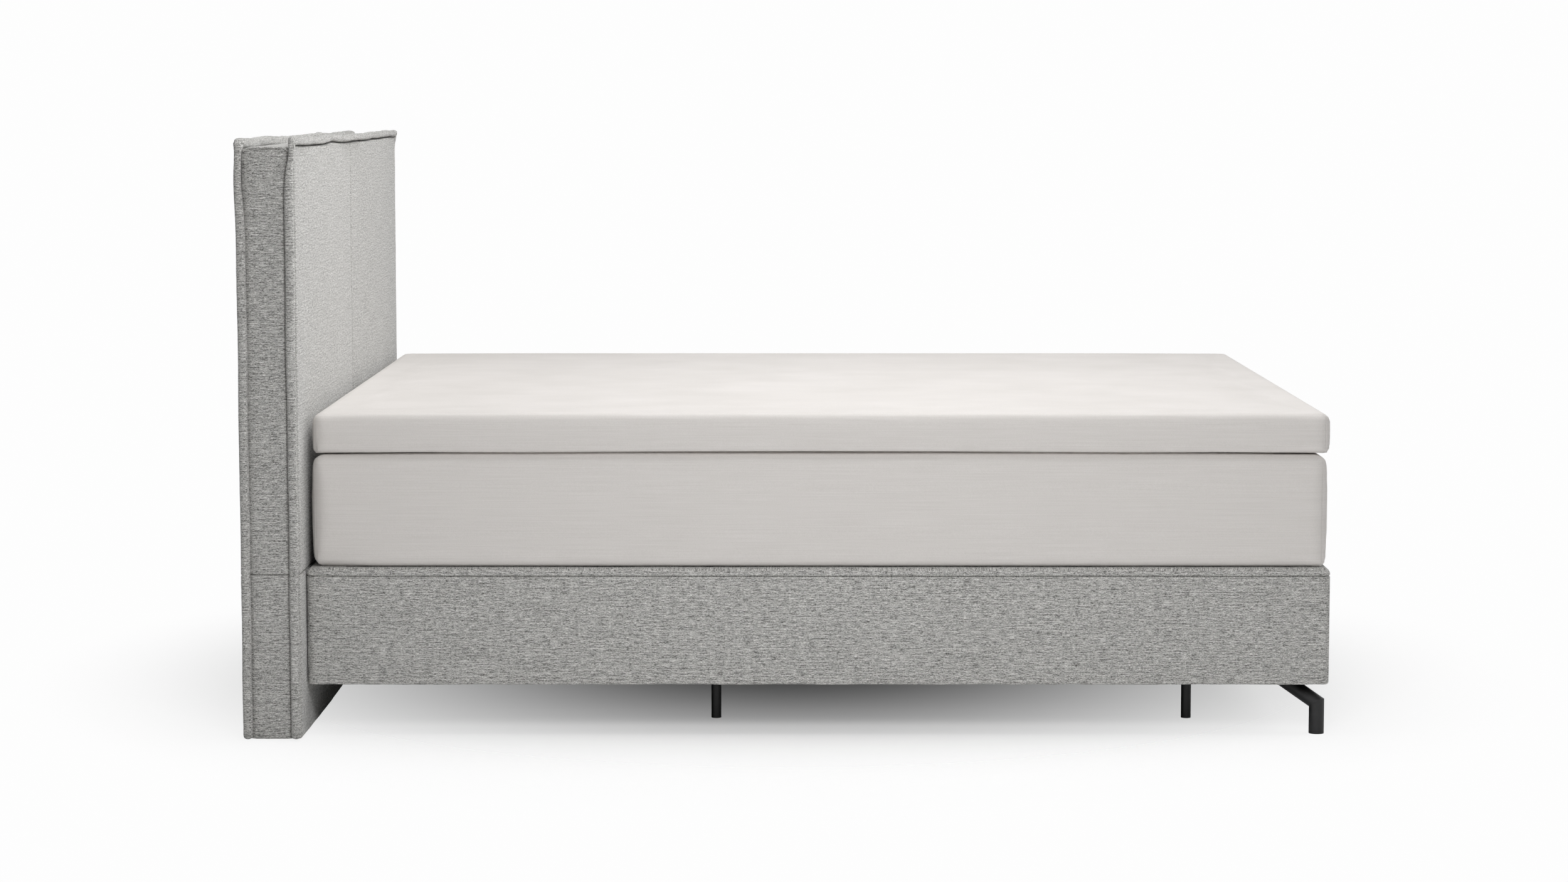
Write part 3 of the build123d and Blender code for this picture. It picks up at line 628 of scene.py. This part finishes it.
# How far the rolls on top stand above or below their middle, in millimetres, against the share of
# the headboard's half width, from the left side to the right side
FRONT_ROLL_SHARES = (
    (-1.0, 5.0), (-0.95, 4.6), (-0.8, 2.3), (-0.55, 0.8), (-0.46, 1.8), (-0.34, 4.2), (-0.18, 0.8),
    (-0.07, -0.4), (0.14, 0.4), (0.3, -1.0), (0.46, 0.8), (0.6, 0.2), (0.83, 0.9), (1.0, -0.6),
)
BACK_ROLL_SHARES = (
    (-1.0, 1.4), (-0.95, 1.8), (-0.8, 0.1), (-0.61, 1.9), (-0.4, -1.2), (-0.2, -2.3), (0.05, -1.8),
    (0.34, -0.6), (0.5, -3.4), (0.7, -3.2), (0.88, -1.8), (1.0, -2.8),
)
# The length below their corners over which the welts are thinner, and the share of it
FRONT_NARROW, FRONT_THIN = 95 * MM, 0.41
BACK_NARROW, BACK_THIN = 190 * MM, 0.27


# Headboard: strips between the welts, and back

STRIP_TUCK = 5 * MM  # how far the strips reach under the welts
STRIP_LIFT = 1.2 * MM  # how far they stand proud of their solids


def strip_edge_drop(edge):
    """How far a strip's long edge has sunk at a distance from its end under the welt."""
    return 8 * MM * max(1 - edge / (13 * MM), 0.0) ** 1.4


def side_strip(name, side, z0, z1, replaces):
    """A padded strip of cover on one side of the headboard, between the welts. Its long edges sink
    under the welts, and near the top they follow them where they are thinner."""
    outer = strip_high.y
    width = strip_high.x - strip_low.x
    welt_width = strip_low.x - back_low.x

    def place(x, z):
        from_top = board_top - WELT_CORNER - 9 * MM - z
        back_share = BACK_THIN * welt_width * groove_share(from_top, BACK_NARROW)
        front_share = FRONT_THIN * welt_width * groove_share(from_top, FRONT_NARROW)
        low_x = strip_low.x - STRIP_TUCK - back_share
        high_x = strip_high.x + STRIP_TUCK + front_share
        x = low_x + (x - strip_low.x) / width * (high_x - low_x)
        edge = min(x - low_x, high_x - x)
        y = outer + STRIP_LIFT - strip_edge_drop(edge)
        y += 0.5 * MM * wave2(x, z, 70 * MM, 11.0 + side)
        y += 0.35 * MM * wave(z, 12 * MM, 13.0) * math.exp(-edge / (7 * MM))
        y -= rolled(z - z0, 5 * MM, 3.5 * MM) + rolled(z1 - z, 5 * MM, 3.5 * MM)
        return Vector((x, side * y, z))

    us = stations(strip_low.x, strip_high.x, 0.8 * MM, 7 * MM)
    vs = stations(z0, z1, 0.8 * MM, 14 * MM)
    bm = thickened(facing(grid(us, vs, place), Vector((0, side, 0))), CLOTH)
    return padded_cover(name, bm, replaces)


def top_strip():
    """The strip along the top of the headboard. It arches a little, and its ends turn down to the
    side strips."""
    low_x = strip_low.x - STRIP_TUCK
    high_x = strip_high.x + STRIP_TUCK + 7 * MM
    half = strip_high.y + 1.6 * MM
    turn = 3.5 * MM

    def place(x, y):
        edge = min(x - low_x, high_x - x)
        z = strip_top + STRIP_LIFT - strip_edge_drop(edge)
        z += 0.6 * MM * wave2(x, y, 80 * MM, 17.0)
        z += 1.6 * MM * math.sin(math.pi * (x - low_x) / (high_x - low_x))
        z -= rolled(half - abs(y), turn, turn)
        return Vector((x, y, z))

    us = stations(low_x, high_x, 0.8 * MM, 7 * MM)
    vs = stations(-half, half, 0.5 * MM, 14 * MM)
    bm = thickened(facing(grid(us, vs, place), Vector((0, 0, 1))), CLOTH)
    replaces = ["headboard_cover_top", "headboard_top_foam"]
    return padded_cover("headboard_top_strip", bm, replaces)


def bolt_places():
    """The middle of each bolt's washer, as Y and Z. The washers lie in one level row."""
    low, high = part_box("headboard_washers")
    washers = []
    for vertex in frame["nodes"]["headboard_washers"].data.vertices:
        y = vertex.co.y
        mine = [ys for ys in washers if abs(y - ys[0]) < high.z - low.z]
        if mine:
            mine[0].append(y)
        else:
            washers.append([y])
    return [((min(ys) + max(ys)) / 2, (low.z + high.z) / 2) for ys in washers]


def headboard_back_cover():
    """The plain cover on the back, pulled tight over its wadding and pressed in under the washers
    of the bolts."""
    half, top = pad_half, back_high.z + 3 * MM
    bolts = bolt_places()

    def place(y, z):
        edge = min(half - abs(y), top - z)
        puff = 1.8 * MM + 0.6 * MM * wave2(y, z, 240 * MM, 23.0)
        for by, bz in bolts:
            puff *= eased((math.hypot(y - by, z - bz) - 12 * MM) / (35 * MM))
        x = back_low.x - puff + rolled(edge, 12 * MM, 4 * MM)
        x += rolled(z - board_floor, 5 * MM, 4 * MM)
        return Vector((x, y, z))

    us = stations(-half, half, 1.0 * MM, 16 * MM)
    vs = stations(board_floor, top, 1.0 * MM, 16 * MM)
    bm = thickened(facing(grid(us, vs, place), Vector((-1, 0, 0))), CLOTH)
    piece = add_piece("headboard_back", bm, melange, "bed", ["headboard_cover_back"])
    return piece


def headboard():
    """The whole headboard in its cover."""
    headboard_front()
    make_welt(
        "headboard_front_welt", "headboard_welt_front", -1, FRONT_ROLL_SHARES,
        roll=(7.4 * MM, 9.6 * MM), drop=8.4 * MM, forward=6.5 * MM,
        narrow=FRONT_NARROW, thin_shares=(FRONT_THIN, 0.25), lean=0.0, seed=31.0,
    )
    make_welt(
        "headboard_back_welt", "headboard_welt_back", 1, BACK_ROLL_SHARES,
        roll=(9.2 * MM, 9.4 * MM), drop=9.2 * MM, forward=0.0,
        narrow=BACK_NARROW, thin_shares=(BACK_THIN, 0.0), lean=-3.2 * MM, seed=47.0,
    )
    low_seam = cross_seam_z - SEAM_GAP
    top = strip_top - 1 * MM
    for side, word in ((LEFT, "left"), (RIGHT, "right")):
        name = f"headboard_side_{word}"
        upper = [f"headboard_cover_side_{word}", "headboard_side_foam"]
        side_strip(name, side, cross_seam_z, top, upper)
        side_strip(f"{name}_lower", side, board_floor, low_seam, ["headboard_cover_side_lower"])
    top_strip()
    headboard_back_cover()


# Base

def ring_places(half_x, half_y, radius, finest, cell, corner_steps):
    """Stations round a rounded rectangle: each is a corner or a straight run, its number, and the
    share of it that lies behind the station."""
    places = []
    for k in range(4):
        places += [("corner", k, i / corner_steps) for i in range(corner_steps)]
        run = 2 * (half_y if k % 2 == 0 else half_x) - 2 * radius
        places += [("run", k, s / run) for s in stations(0, run, finest, cell, 1.15)[:-1]]
    return places


def on_ring(place, middle, half_x, half_y, radius):
    """A station's X and Y on a rounded rectangle, and the direction that points out of it."""
    kind, k, share = place
    signs = ((1, -1), (1, 1), (-1, 1), (-1, -1))

    def corner_point(q, t):
        sx, sy = signs[q % 4]
        angle = math.radians(90 * (q % 4) - 90 + 90 * t)
        out = Vector((math.cos(angle), math.sin(angle), 0))
        centre = Vector((middle.x + sx * (half_x - radius), middle.y + sy * (half_y - radius), 0))
        return centre + out * radius, out

    if kind == "corner":
        return corner_point(k, share)
    start, out = corner_point(k, 1.0)
    stop = corner_point(k + 1, 0.0)[0]
    return start.lerp(stop, share), out


BASE_CORNER = 16 * MM
BASE_LIFT = 1.0 * MM  # how far the cover stands proud of its solid
BASE_SEAM = (2.8 * MM, 4.6 * MM)  # radius and depth of the cloth's turn into the seam
HEM = 26 * MM
# How far in from the edge the flat part of the base's top has its rings of points, in millimetres
FLAT_INSETS = (15, 17, 21, 27, 36, 50, 75, 110, 170, 260, 380, 520, 680, 790)


def base_shell(name, profile, place, cap_top, replaces):
    """A closed shell round the base from its profile, with its flat middle filled if it has one."""
    middle = (base_low + base_high) / 2
    half_x, half_y = (base_high.x - base_low.x) / 2, (base_high.y - base_low.y) / 2
    outline = ring_places(half_x, half_y, BASE_CORNER, 1.6 * MM, 14 * MM, 12)

    def point_at(i, j):
        inset, z = profile[j]
        radius = max(BASE_CORNER - inset, 1.5 * MM)
        station = outline[i % len(outline)]
        point, out = on_ring(station, middle, half_x - inset, half_y - inset, radius)
        push, rise = place(point, j)
        point += out * push
        point.z = z + rise
        return point

    bm = grid(list(range(len(outline) + 1)), list(range(len(profile))), point_at)
    bmesh.ops.remove_doubles(bm, verts=bm.verts, dist=0.02 * MM)
    if cap_top:
        rim = [e for e in bm.edges if e.is_boundary and e.verts[0].co.z > base_high.z - 1 * MM]
        bmesh.ops.holes_fill(bm, edges=rim)
    bmesh.ops.recalc_face_normals(bm, faces=bm.faces)
    bm.normal_update()
    out = sum((f.calc_center_median() - middle).dot(f.normal) * f.calc_area() for f in bm.faces)
    if out < 0:
        bmesh.ops.reverse_faces(bm, faces=bm.faces)
    return padded_cover(name, thickened(bm, CLOTH), replaces)


def base_side():
    """The side of the base's cover. Below, it turns in to its stapled hem, and the staples pull
    small dips into its bottom edge. Above, it turns in behind the seam."""
    edge = 4 * MM
    profile = [(HEM - 3 * MM * i, base_low.z) for i in range(8)]
    for i in range(6):
        a = math.radians(90 * i / 5)
        inset = edge * (1 - math.sin(a)) - BASE_LIFT
        profile.append((inset, base_low.z + edge * (1 - math.cos(a))))
    heights = stations(base_low.z + edge, base_seam_z, 0.7 * MM, 12 * MM, 1.3)[1:]
    profile += [(rolled(base_seam_z - z, *BASE_SEAM) - BASE_LIFT, z) for z in heights]
    profile += [(inset * MM, base_seam_z + 0.45 * MM) for inset in (3.65, 9)]

    def place(point, j):
        inset, z = profile[j]
        run = point.x + point.y
        below_seam = math.exp(-(base_seam_z - z) / (10 * MM))
        push = 0.5 * MM * wave2(run, z, 150 * MM, 61.0)
        push += 0.35 * MM * below_seam * wave(run, 9 * MM, 3.3)
        above_hem = math.exp(-(z - base_low.z) / (14 * MM))
        dips = wave(run, 34 * MM, 5.5)
        push += 0.5 * MM * above_hem * dips
        return push, 0.8 * MM * above_hem * dips

    base_shell("base_side", profile, place, False, ["base_cover_side", "base_side_foam"])


def base_top():
    """The top of the base's cover, down to the seam. At each corner the cloth of the long side is
    folded under that of the short side, along a line that rises away from the corner."""
    edge = 14 * MM
    low_z = base_seam_z + SEAM_GAP
    heights = stations(low_z, base_high.z - edge, 0.6 * MM, 2 * MM)
    profile = [(rolled(z - low_z, *BASE_SEAM) - BASE_LIFT, z) for z in heights]
    for i in range(1, 8):
        a = math.radians(90 * i / 7)
        inset = edge * (1 - math.cos(a)) - BASE_LIFT
        profile.append((inset, base_high.z - edge * (1 - math.sin(a))))
    profile += [(inset * MM, base_high.z) for inset in FLAT_INSETS]
    lengths = [0.0]
    for (a, b), (c, d) in zip(profile, profile[1:]):
        lengths.append(lengths[-1] + math.hypot(c - a, d - b))

    def place(point, j):
        run = point.x + point.y
        climb = lengths[j]
        push = 0.5 * MM * wave2(run, climb, 150 * MM, 67.0)
        push += 0.3 * MM * math.exp(-climb / (6 * MM)) * wave(run, 9 * MM, 3.3)
        from_end = min(point.x - base_low.x, base_high.x - point.x)
        past = from_end - (18 * MM + 22 * MM * (climb / (21 * MM)) ** 1.6)
        fade = math.exp(-max(climb - 24 * MM, 0) / (10 * MM))
        if past > 0:
            push -= 2.6 * MM * fade * math.exp(-past / (14 * MM))
        else:
            push += 1.8 * MM * fade * eased(1 + past / (22 * MM))
        if j < len(profile) - len(FLAT_INSETS):
            return push, 0.0
        return 0.0, push

    base_shell("base_top", profile, place, True, ["base_cover_top", "base_top_foam"])


def dust_cover():
    """The black dust cover under the base. It is pulled flat and stapled along its edge, so it
    ripples a little near the edge and sags a little, evenly, away from it."""
    low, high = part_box("base_dust_cover")
    half_y = high.y - 1.0 * MM
    x0, x1 = low.x + 1.0 * MM, high.x - 1.0 * MM

    def place(x, y):
        edge = min(x - x0, x1 - x, half_y - abs(y))
        run = x if half_y - abs(y) < min(x - x0, x1 - x) else y
        sag = eased(edge / (90 * MM)) * (0.55 * MM + 0.1 * MM * wave2(x, y, 240 * MM, 71.0))
        ripple = 0.15 * MM * wave(run, 22 * MM, 73.0) * math.exp(-edge / (40 * MM))
        return Vector((x, y, low.z + 0.85 * MM - sag + ripple))

    us = stations(x0, x1, 4 * MM, 22 * MM)
    vs = stations(-half_y, half_y, 4 * MM, 22 * MM)
    bm = thickened(facing(grid(us, vs, place), Vector((0, 0, -1))), 0.3 * MM)
    piece = add_piece("base_dust_sheet", bm, black_fleece, "bed", ["base_dust_cover"])
    flat, rails = (x1 - x0, 2 * half_y), ["base_rail_left", "base_rail_right"]
    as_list(rails)


def hem_staples():
    """The staples that hold the hem of the base's cover to its rails, along all four sides."""
    middle = (base_low + base_high) / 2
    half_x, half_y = (base_high.x - base_low.x) / 2, (base_high.y - base_low.y) / 2
    inset, clear, pitch = 13 * MM, 120 * MM, 52 * MM
    crown, wire, stand = 10 * MM, 1.1 * MM, 0.5 * MM
    bm = bmesh.new()
    for along, across, turn in ((half_x, half_y, 0.0), (half_y, half_x, math.pi / 2)):
        reach = along - clear
        count = round(2 * reach / pitch)
        for i in range(count + 1):
            run = reach * (2 * i / count - 1)
            for side in (-1, 1):
                spot = Vector((run, side * (across - inset), 0))
                if turn:
                    spot = Vector((spot.y, spot.x, 0))
                tilt = 0.12 * wave(run, 37 * MM, side * 5.0)
                spot += Vector((middle.x, middle.y, base_low.z - 0.2 * MM))
                shape = Matrix.Rotation(turn + tilt, 4, "Z") @ Matrix.Diagonal((crown, wire, stand, 1))
                bmesh.ops.create_cube(bm, size=1, matrix=Matrix.Translation(spot) @ shape)
    add_piece("base_hem_staples", bm, zinc, "bed", [], uv=False)


# Mattress and topper

FOOT_BULGE = 3.5 * MM  # how far both stand out past their solids at the foot end
EDGE_GAP = 3.0 * MM  # how far the facing edges of mattress and topper are drawn apart


def cushion_start(low, high, corner, low_edge, high_edge):
    """A block with rounded upright corners and rounded top and bottom edges."""
    bm = bmesh.new()
    bmesh.ops.create_cube(bm, size=1)
    bmesh.ops.scale(bm, vec=high - low, verts=bm.verts)
    bmesh.ops.translate(bm, vec=(low + high) / 2, verts=bm.verts)
    upright = [e for e in bm.edges if abs(e.verts[0].co.z - e.verts[1].co.z) > low_edge]
    settings = {"affect": "EDGES", "profile": 0.5, "material": -1}
    bmesh.ops.bevel(bm, geom=upright, offset=corner, segments=6, **settings)
    for z, radius in ((high.z, high_edge), (low.z, low_edge)):
        rim = [e for e in bm.edges if all(abs(v.co.z - z) < 0.1 * MM for v in e.verts)]
        bmesh.ops.bevel(bm, geom=rim, offset=radius, segments=5, **settings)
    return bm


def modified(mesh, kind, **settings):
    """The mesh that one modifier makes of a mesh."""
    holder = bpy.data.objects.new("holder", mesh)
    bpy.context.scene.collection.objects.link(holder)
    modifier = holder.modifiers.new(kind.lower(), kind)
    for key, value in settings.items():
        setattr(modifier, key, value)
    graph = bpy.context.evaluated_depsgraph_get()
    made = bpy.data.meshes.new_from_object(holder.evaluated_get(graph))
    bpy.data.objects.remove(holder)
    return made


def inflated(mesh, cap):
    """The mesh swollen by cloth simulation under its own inner pressure, with no point moved
    further than the cap."""
    cloth = bpy.data.objects.new("cloth", mesh)
    scene = bpy.context.scene
    scene.collection.objects.link(cloth)
    rest = [v.co.copy() for v in mesh.vertices]
    modifier = cloth.modifiers.new("cloth", "CLOTH")
    settings = modifier.settings
    settings.quality = 4
    settings.mass = 0.3
    settings.use_pressure = True
    settings.uniform_pressure_force = 4.0
    settings.effector_weights.gravity = 0.0
    modifier.collision_settings.use_collision = False
    for f in range(1, 21):
        scene.frame_set(f)
    evaluated = cloth.evaluated_get(bpy.context.evaluated_depsgraph_get())
    swollen = bpy.data.meshes.new_from_object(evaluated)
    for vertex, start in zip(swollen.vertices, rest):
        move = vertex.co - start
        if move.length > cap:
            vertex.co = start + move * (cap / move.length)
    bpy.data.objects.remove(cloth)
    scene.frame_set(1)
    return swollen


def pushed_outside(bm, nodes, gap):
    """Moves the points of a pad that lie inside the CAD cover, or too near it, out of it."""
    cover = bmesh.new()
    for name in nodes:
        cover.from_mesh(frame["nodes"][name].data)
    tree = BVHTree.FromBMesh(cover)
    cover.free()
    bm.normal_update()
    for vertex in bm.verts:
        out = vertex.normal.copy()
        hit = tree.ray_cast(vertex.co + out * 60 * MM, -out)[0]
        if hit:
            vertex.co += out * max((hit - vertex.co).dot(out) + gap, 0.0)


def tightened_edge(bm, low, high, corner, radius, power_at, top=False):
    """Makes a block's bottom or top edge squarer than its quarter circle, by a superellipse whose
    power depends on the place along X. A power of 2 leaves the circle."""
    middle, half = (low + high) / 2, (high - low) / 2
    for vertex in bm.verts:
        place = vertex.co - middle
        out = Vector([max(abs(place[i]) - half[i] + corner, 0.0) for i in (0, 1)])
        a = 1 - (corner - out.length) / radius
        b = 1 - (high.z - vertex.co.z if top else vertex.co.z - low.z) / radius
        if a <= 0 or b <= 0:
            continue
        power, size = power_at(vertex.co.x), math.hypot(a, b)
        grow = (((a / size) ** power + (b / size) ** power) ** (-1 / power) - 1) * radius
        out.normalize()
        vertex.co.x += math.copysign(out.x, place.x) * a * grow
        vertex.co.y += math.copysign(out.y, place.y) * a * grow
        vertex.co.z += b * grow * (1 if top else -1)


def parted_edge(bm, low, high, level, way):
    """Draws the edge at one level up or down, away from the other block, and most of all at the
    head and the foot: the dark gap between mattress and topper opens towards their ends."""
    middle, half = (low + high) / 2, (high - low) / 2
    for vertex in bm.verts:
        place = vertex.co - middle
        inward = min(half.x - abs(place.x), half.y - abs(place.y))
        at_edge = 1 - eased(inward / (60 * MM))
        at_level = 1 - eased(abs(vertex.co.z - level) / (22 * MM))
        ends = 0.45 + 0.55 * (place.x / half.x) ** 2
        vertex.co.z += way * EDGE_GAP * at_edge * at_level * min(ends, 1.0)


def seamed_corners(bm, low, high, corner):
    """Sews a seam up each rounded corner: the mesh is cut along it and its middle line drawn in."""
    width, depth = 1.2 * MM, 1.0 * MM
    for sx, sy in ((-1, -1), (-1, 1), (1, -1), (1, 1)):
        corner_x = (high.x if sx > 0 else low.x) - sx * corner
        corner_y = (high.y if sy > 0 else low.y) - sy * corner
        middle = Vector((corner_x, corner_y, 0))
        along = Vector((-sy, sx, 0)).normalized()
        out = Vector((sx, sy, 0)).normalized()
        for step in (-width, 0.0, width):
            near = []
            for face in bm.faces:
                place = face.calc_center_median() - middle
                if place.to_2d().length < corner + 20 * MM and place.dot(out) > 0:
                    near.append(face)
            geom = set(near) | {e for f in near for e in f.edges} | {v for f in near for v in f.verts}
            plane = middle + along * step
            bmesh.ops.bisect_plane(bm, geom=list(geom), plane_co=plane, plane_no=along)
        bm.normal_update()
        for vertex in bm.verts:
            place = vertex.co - middle
            upright = 1 - abs(vertex.normal.z)
            if place.dot(out) > corner / 2 and abs(place.dot(along)) < 0.1 * MM:
                vertex.co -= out * depth * upright


def soft_block(low, high, corner, edges, swell, voxel, nodes, power_at):
    """A foam block in its knitted cover: swollen by simulation from a slightly smaller start, and
    kept outside the solid it stands for. edges holds the radius of its bottom edge and its top."""
    inset = Vector((swell, swell, swell / 2))
    bm = cushion_start(low + inset, high - inset, corner, *edges)
    mesh = bpy.data.meshes.new("start")
    bm.to_mesh(mesh)
    bm.free()
    mesh = modified(mesh, "REMESH", mode="VOXEL", voxel_size=voxel)
    mesh = modified(inflated(mesh, swell), "SUBSURF", levels=1, render_levels=1)
    made = bmesh.new()
    made.from_mesh(mesh)
    pushed_outside(made, nodes, 0.8 * MM)
    near = 80 * MM
    for vertex in made.verts:
        vertex.co.x += FOOT_BULGE * eased((vertex.co.x - high.x + near) / near)
    tightened_edge(made, low, high, corner, edges[0], power_at)
    seamed_corners(made, low, high, corner)
    return made


def mattress_and_topper():
    """The mattress stands flat on the base, with a rounder bottom edge at the head than elsewhere.
    The topper lies on the mattress's crown. Its bottom edge is tight, and so is its top edge along
    the sides."""

    def mattress_power(x):
        return 2 + 1.6 * eased((x - mattress_low.x - 30 * MM) / (120 * MM))

    def topper_top_power(x):
        from_end = min(x - topper_low.x, topper_high.x - x)
        return 2 + 3 * eased((from_end - 20 * MM) / (60 * MM))

    nodes = ["mattress_cover", "mattress_cover_underside"]
    bm = soft_block(
        mattress_low, mattress_high, 34 * MM, (28 * MM, 24 * MM), 6 * MM, 14 * MM, nodes, mattress_power,
    )
    for vertex in bm.verts:
        vertex.co.z = max(vertex.co.z, mattress_low.z)
    parted_edge(bm, mattress_low, mattress_high, mattress_high.z, -1)
    tree = BVHTree.FromBMesh(bm)
    piece = add_piece("mattress", bm, ticking, "mattress", nodes + ["mattress_foam_top"])
    nodes = ["topper_cover", "topper_cover_underside"]
    corner, edges = 30 * MM, (15 * MM, 12 * MM)
    bm = soft_block(topper_low, topper_high, corner, edges, 5 * MM, 12 * MM, nodes, lambda x: 4.0)
    tightened_edge(bm, topper_low, topper_high, corner, edges[1], topper_top_power, top=True)
    parted_edge(bm, topper_low, topper_high, topper_low.z, 1)
    middle_z = (topper_low.z + topper_high.z) / 2
    for vertex in bm.verts:
        if vertex.co.z < middle_z:
            above = Vector((vertex.co.x, vertex.co.y, middle_z))
            hit = tree.ray_cast(above, Vector((0, 0, -1)))[0]
            if hit:
                vertex.co.z = max(vertex.co.z, hit.z + 0.4 * MM)
    piece = add_piece("topper", bm, ticking, "topper", nodes + ["topper_foam"])


# Camera, floor and light

def camera():
    """The photograph's camera: low at the left side of the bed, far off, with a long lens. It
    looks down a little and is turned by a hair."""
    data = bpy.data.cameras.new("camera")
    data.lens = 80.2
    data.sensor_width = 36.0
    data.clip_end = 60.0
    made = bpy.data.objects.new("camera", data)
    made.location = (-2.8 * MM, -7622 * MM, 1264 * MM)
    made.rotation_euler = (math.radians(90 - 5.70), 0.0, math.radians(0.051))
    bpy.context.scene.collection.objects.link(made)
    bpy.context.scene.camera = made


def pale_floor():
    """A matt white floor that fades into the white background far from the bed."""
    material = bpy.data.materials.new("matt white floor")
    material.use_nodes = True
    tree = material.node_tree
    tree.nodes.clear()
    place = {0: object_coordinates(tree)}
    distance = node(tree, "ShaderNodeVectorMath", place, operation="LENGTH").outputs["Value"]
    fade = node(
        tree, "ShaderNodeMapRange", {"Value": distance},
        {"From Min": 0.1, "From Max": 1.7, "To Min": 0.06}, interpolation_type="SMOOTHSTEP",
    ).outputs["Result"]
    seen = node(tree, "ShaderNodeLightPath").outputs["Is Camera Ray"]
    share = node(tree, "ShaderNodeMath", {0: fade, 1: seen}, operation="MULTIPLY").outputs[0]
    matt = node(tree, "ShaderNodeBsdfDiffuse", sockets={"Color": linear("#F7F7F7")}).outputs[0]
    clear = node(tree, "ShaderNodeBsdfTransparent").outputs[0]
    mixed = node(tree, "ShaderNodeMixShader", {0: share, 1: matt, 2: clear}).outputs[0]
    node(tree, "ShaderNodeOutputMaterial", {"Surface": mixed})
    bm = bmesh.new()
    bmesh.ops.create_circle(bm, cap_ends=True, segments=64, radius=9.0)
    mesh = bpy.data.meshes.new("floor")
    bm.to_mesh(mesh)
    bm.free()
    floor = bpy.data.objects.new("floor", mesh)
    bpy.context.scene.collection.objects.link(floor)
    mesh.materials.append(material)


def area_light(name, place, target, size, power):
    """A soft rectangular light that shines from a place at a target."""
    data = bpy.data.lights.new(name, "AREA")
    data.shape = "RECTANGLE"
    data.size, data.size_y = size
    data.energy = power
    made = bpy.data.objects.new(name, data)
    made.location = place
    made.rotation_euler = (Vector(target) - Vector(place)).to_track_quat("-Z", "Y").to_euler()
    bpy.context.scene.collection.objects.link(made)


def light():
    """Soft studio light: white surroundings that glow faintly, a light above, the strongest one
    high past the foot of the bed, a weaker one near the camera and the weakest behind the
    headboard."""
    world = bpy.data.worlds.new("white studio")
    bpy.context.scene.world = world
    world.use_nodes = True
    tree = world.node_tree
    tree.nodes.clear()
    path = node(tree, "ShaderNodeLightPath")
    seen = node(
        tree, "ShaderNodeMath", {0: path.outputs["Is Camera Ray"], 1: path.outputs["Is Glossy Ray"]},
        operation="MAXIMUM",
    ).outputs[0]
    glow_sockets = {"Color": (1, 1, 1, 1), "Strength": 0.12}
    white_sockets = {"Color": (0.985, 0.985, 0.985, 1), "Strength": 1.0}
    glow = node(tree, "ShaderNodeBackground", sockets=glow_sockets).outputs[0]
    white = node(tree, "ShaderNodeBackground", sockets=white_sockets).outputs[0]
    mixed = node(tree, "ShaderNodeMixShader", {0: seen, 1: glow, 2: white}).outputs[0]
    node(tree, "ShaderNodeOutputWorld", {"Surface": mixed})
    area_light("light_above", (0.1, -0.2, 3.0), (0.1, 0.0, 0.4), (2.0, 2.2), 56)
    area_light("light_foot", (4.6, 0.6, 3.4), (-0.9, 0.0, 0.8), (2.4, 2.0), 62)
    area_light("light_front", (0.2, -3.5, 2.1), (0.1, 0.0, 0.3), (1.2, 1.0), 45)
    area_light("light_head", (-4.6, 0.6, 3.6), (0.2, 0.0, 0.4), (2.6, 2.4), 24)
    bpy.context.scene.view_settings.view_transform = "Standard"


camera()
pale_floor()
light()
finish_cad_nodes()
headboard()
base_side()
base_top()
dust_cover()
hem_staples()
mattress_and_topper()
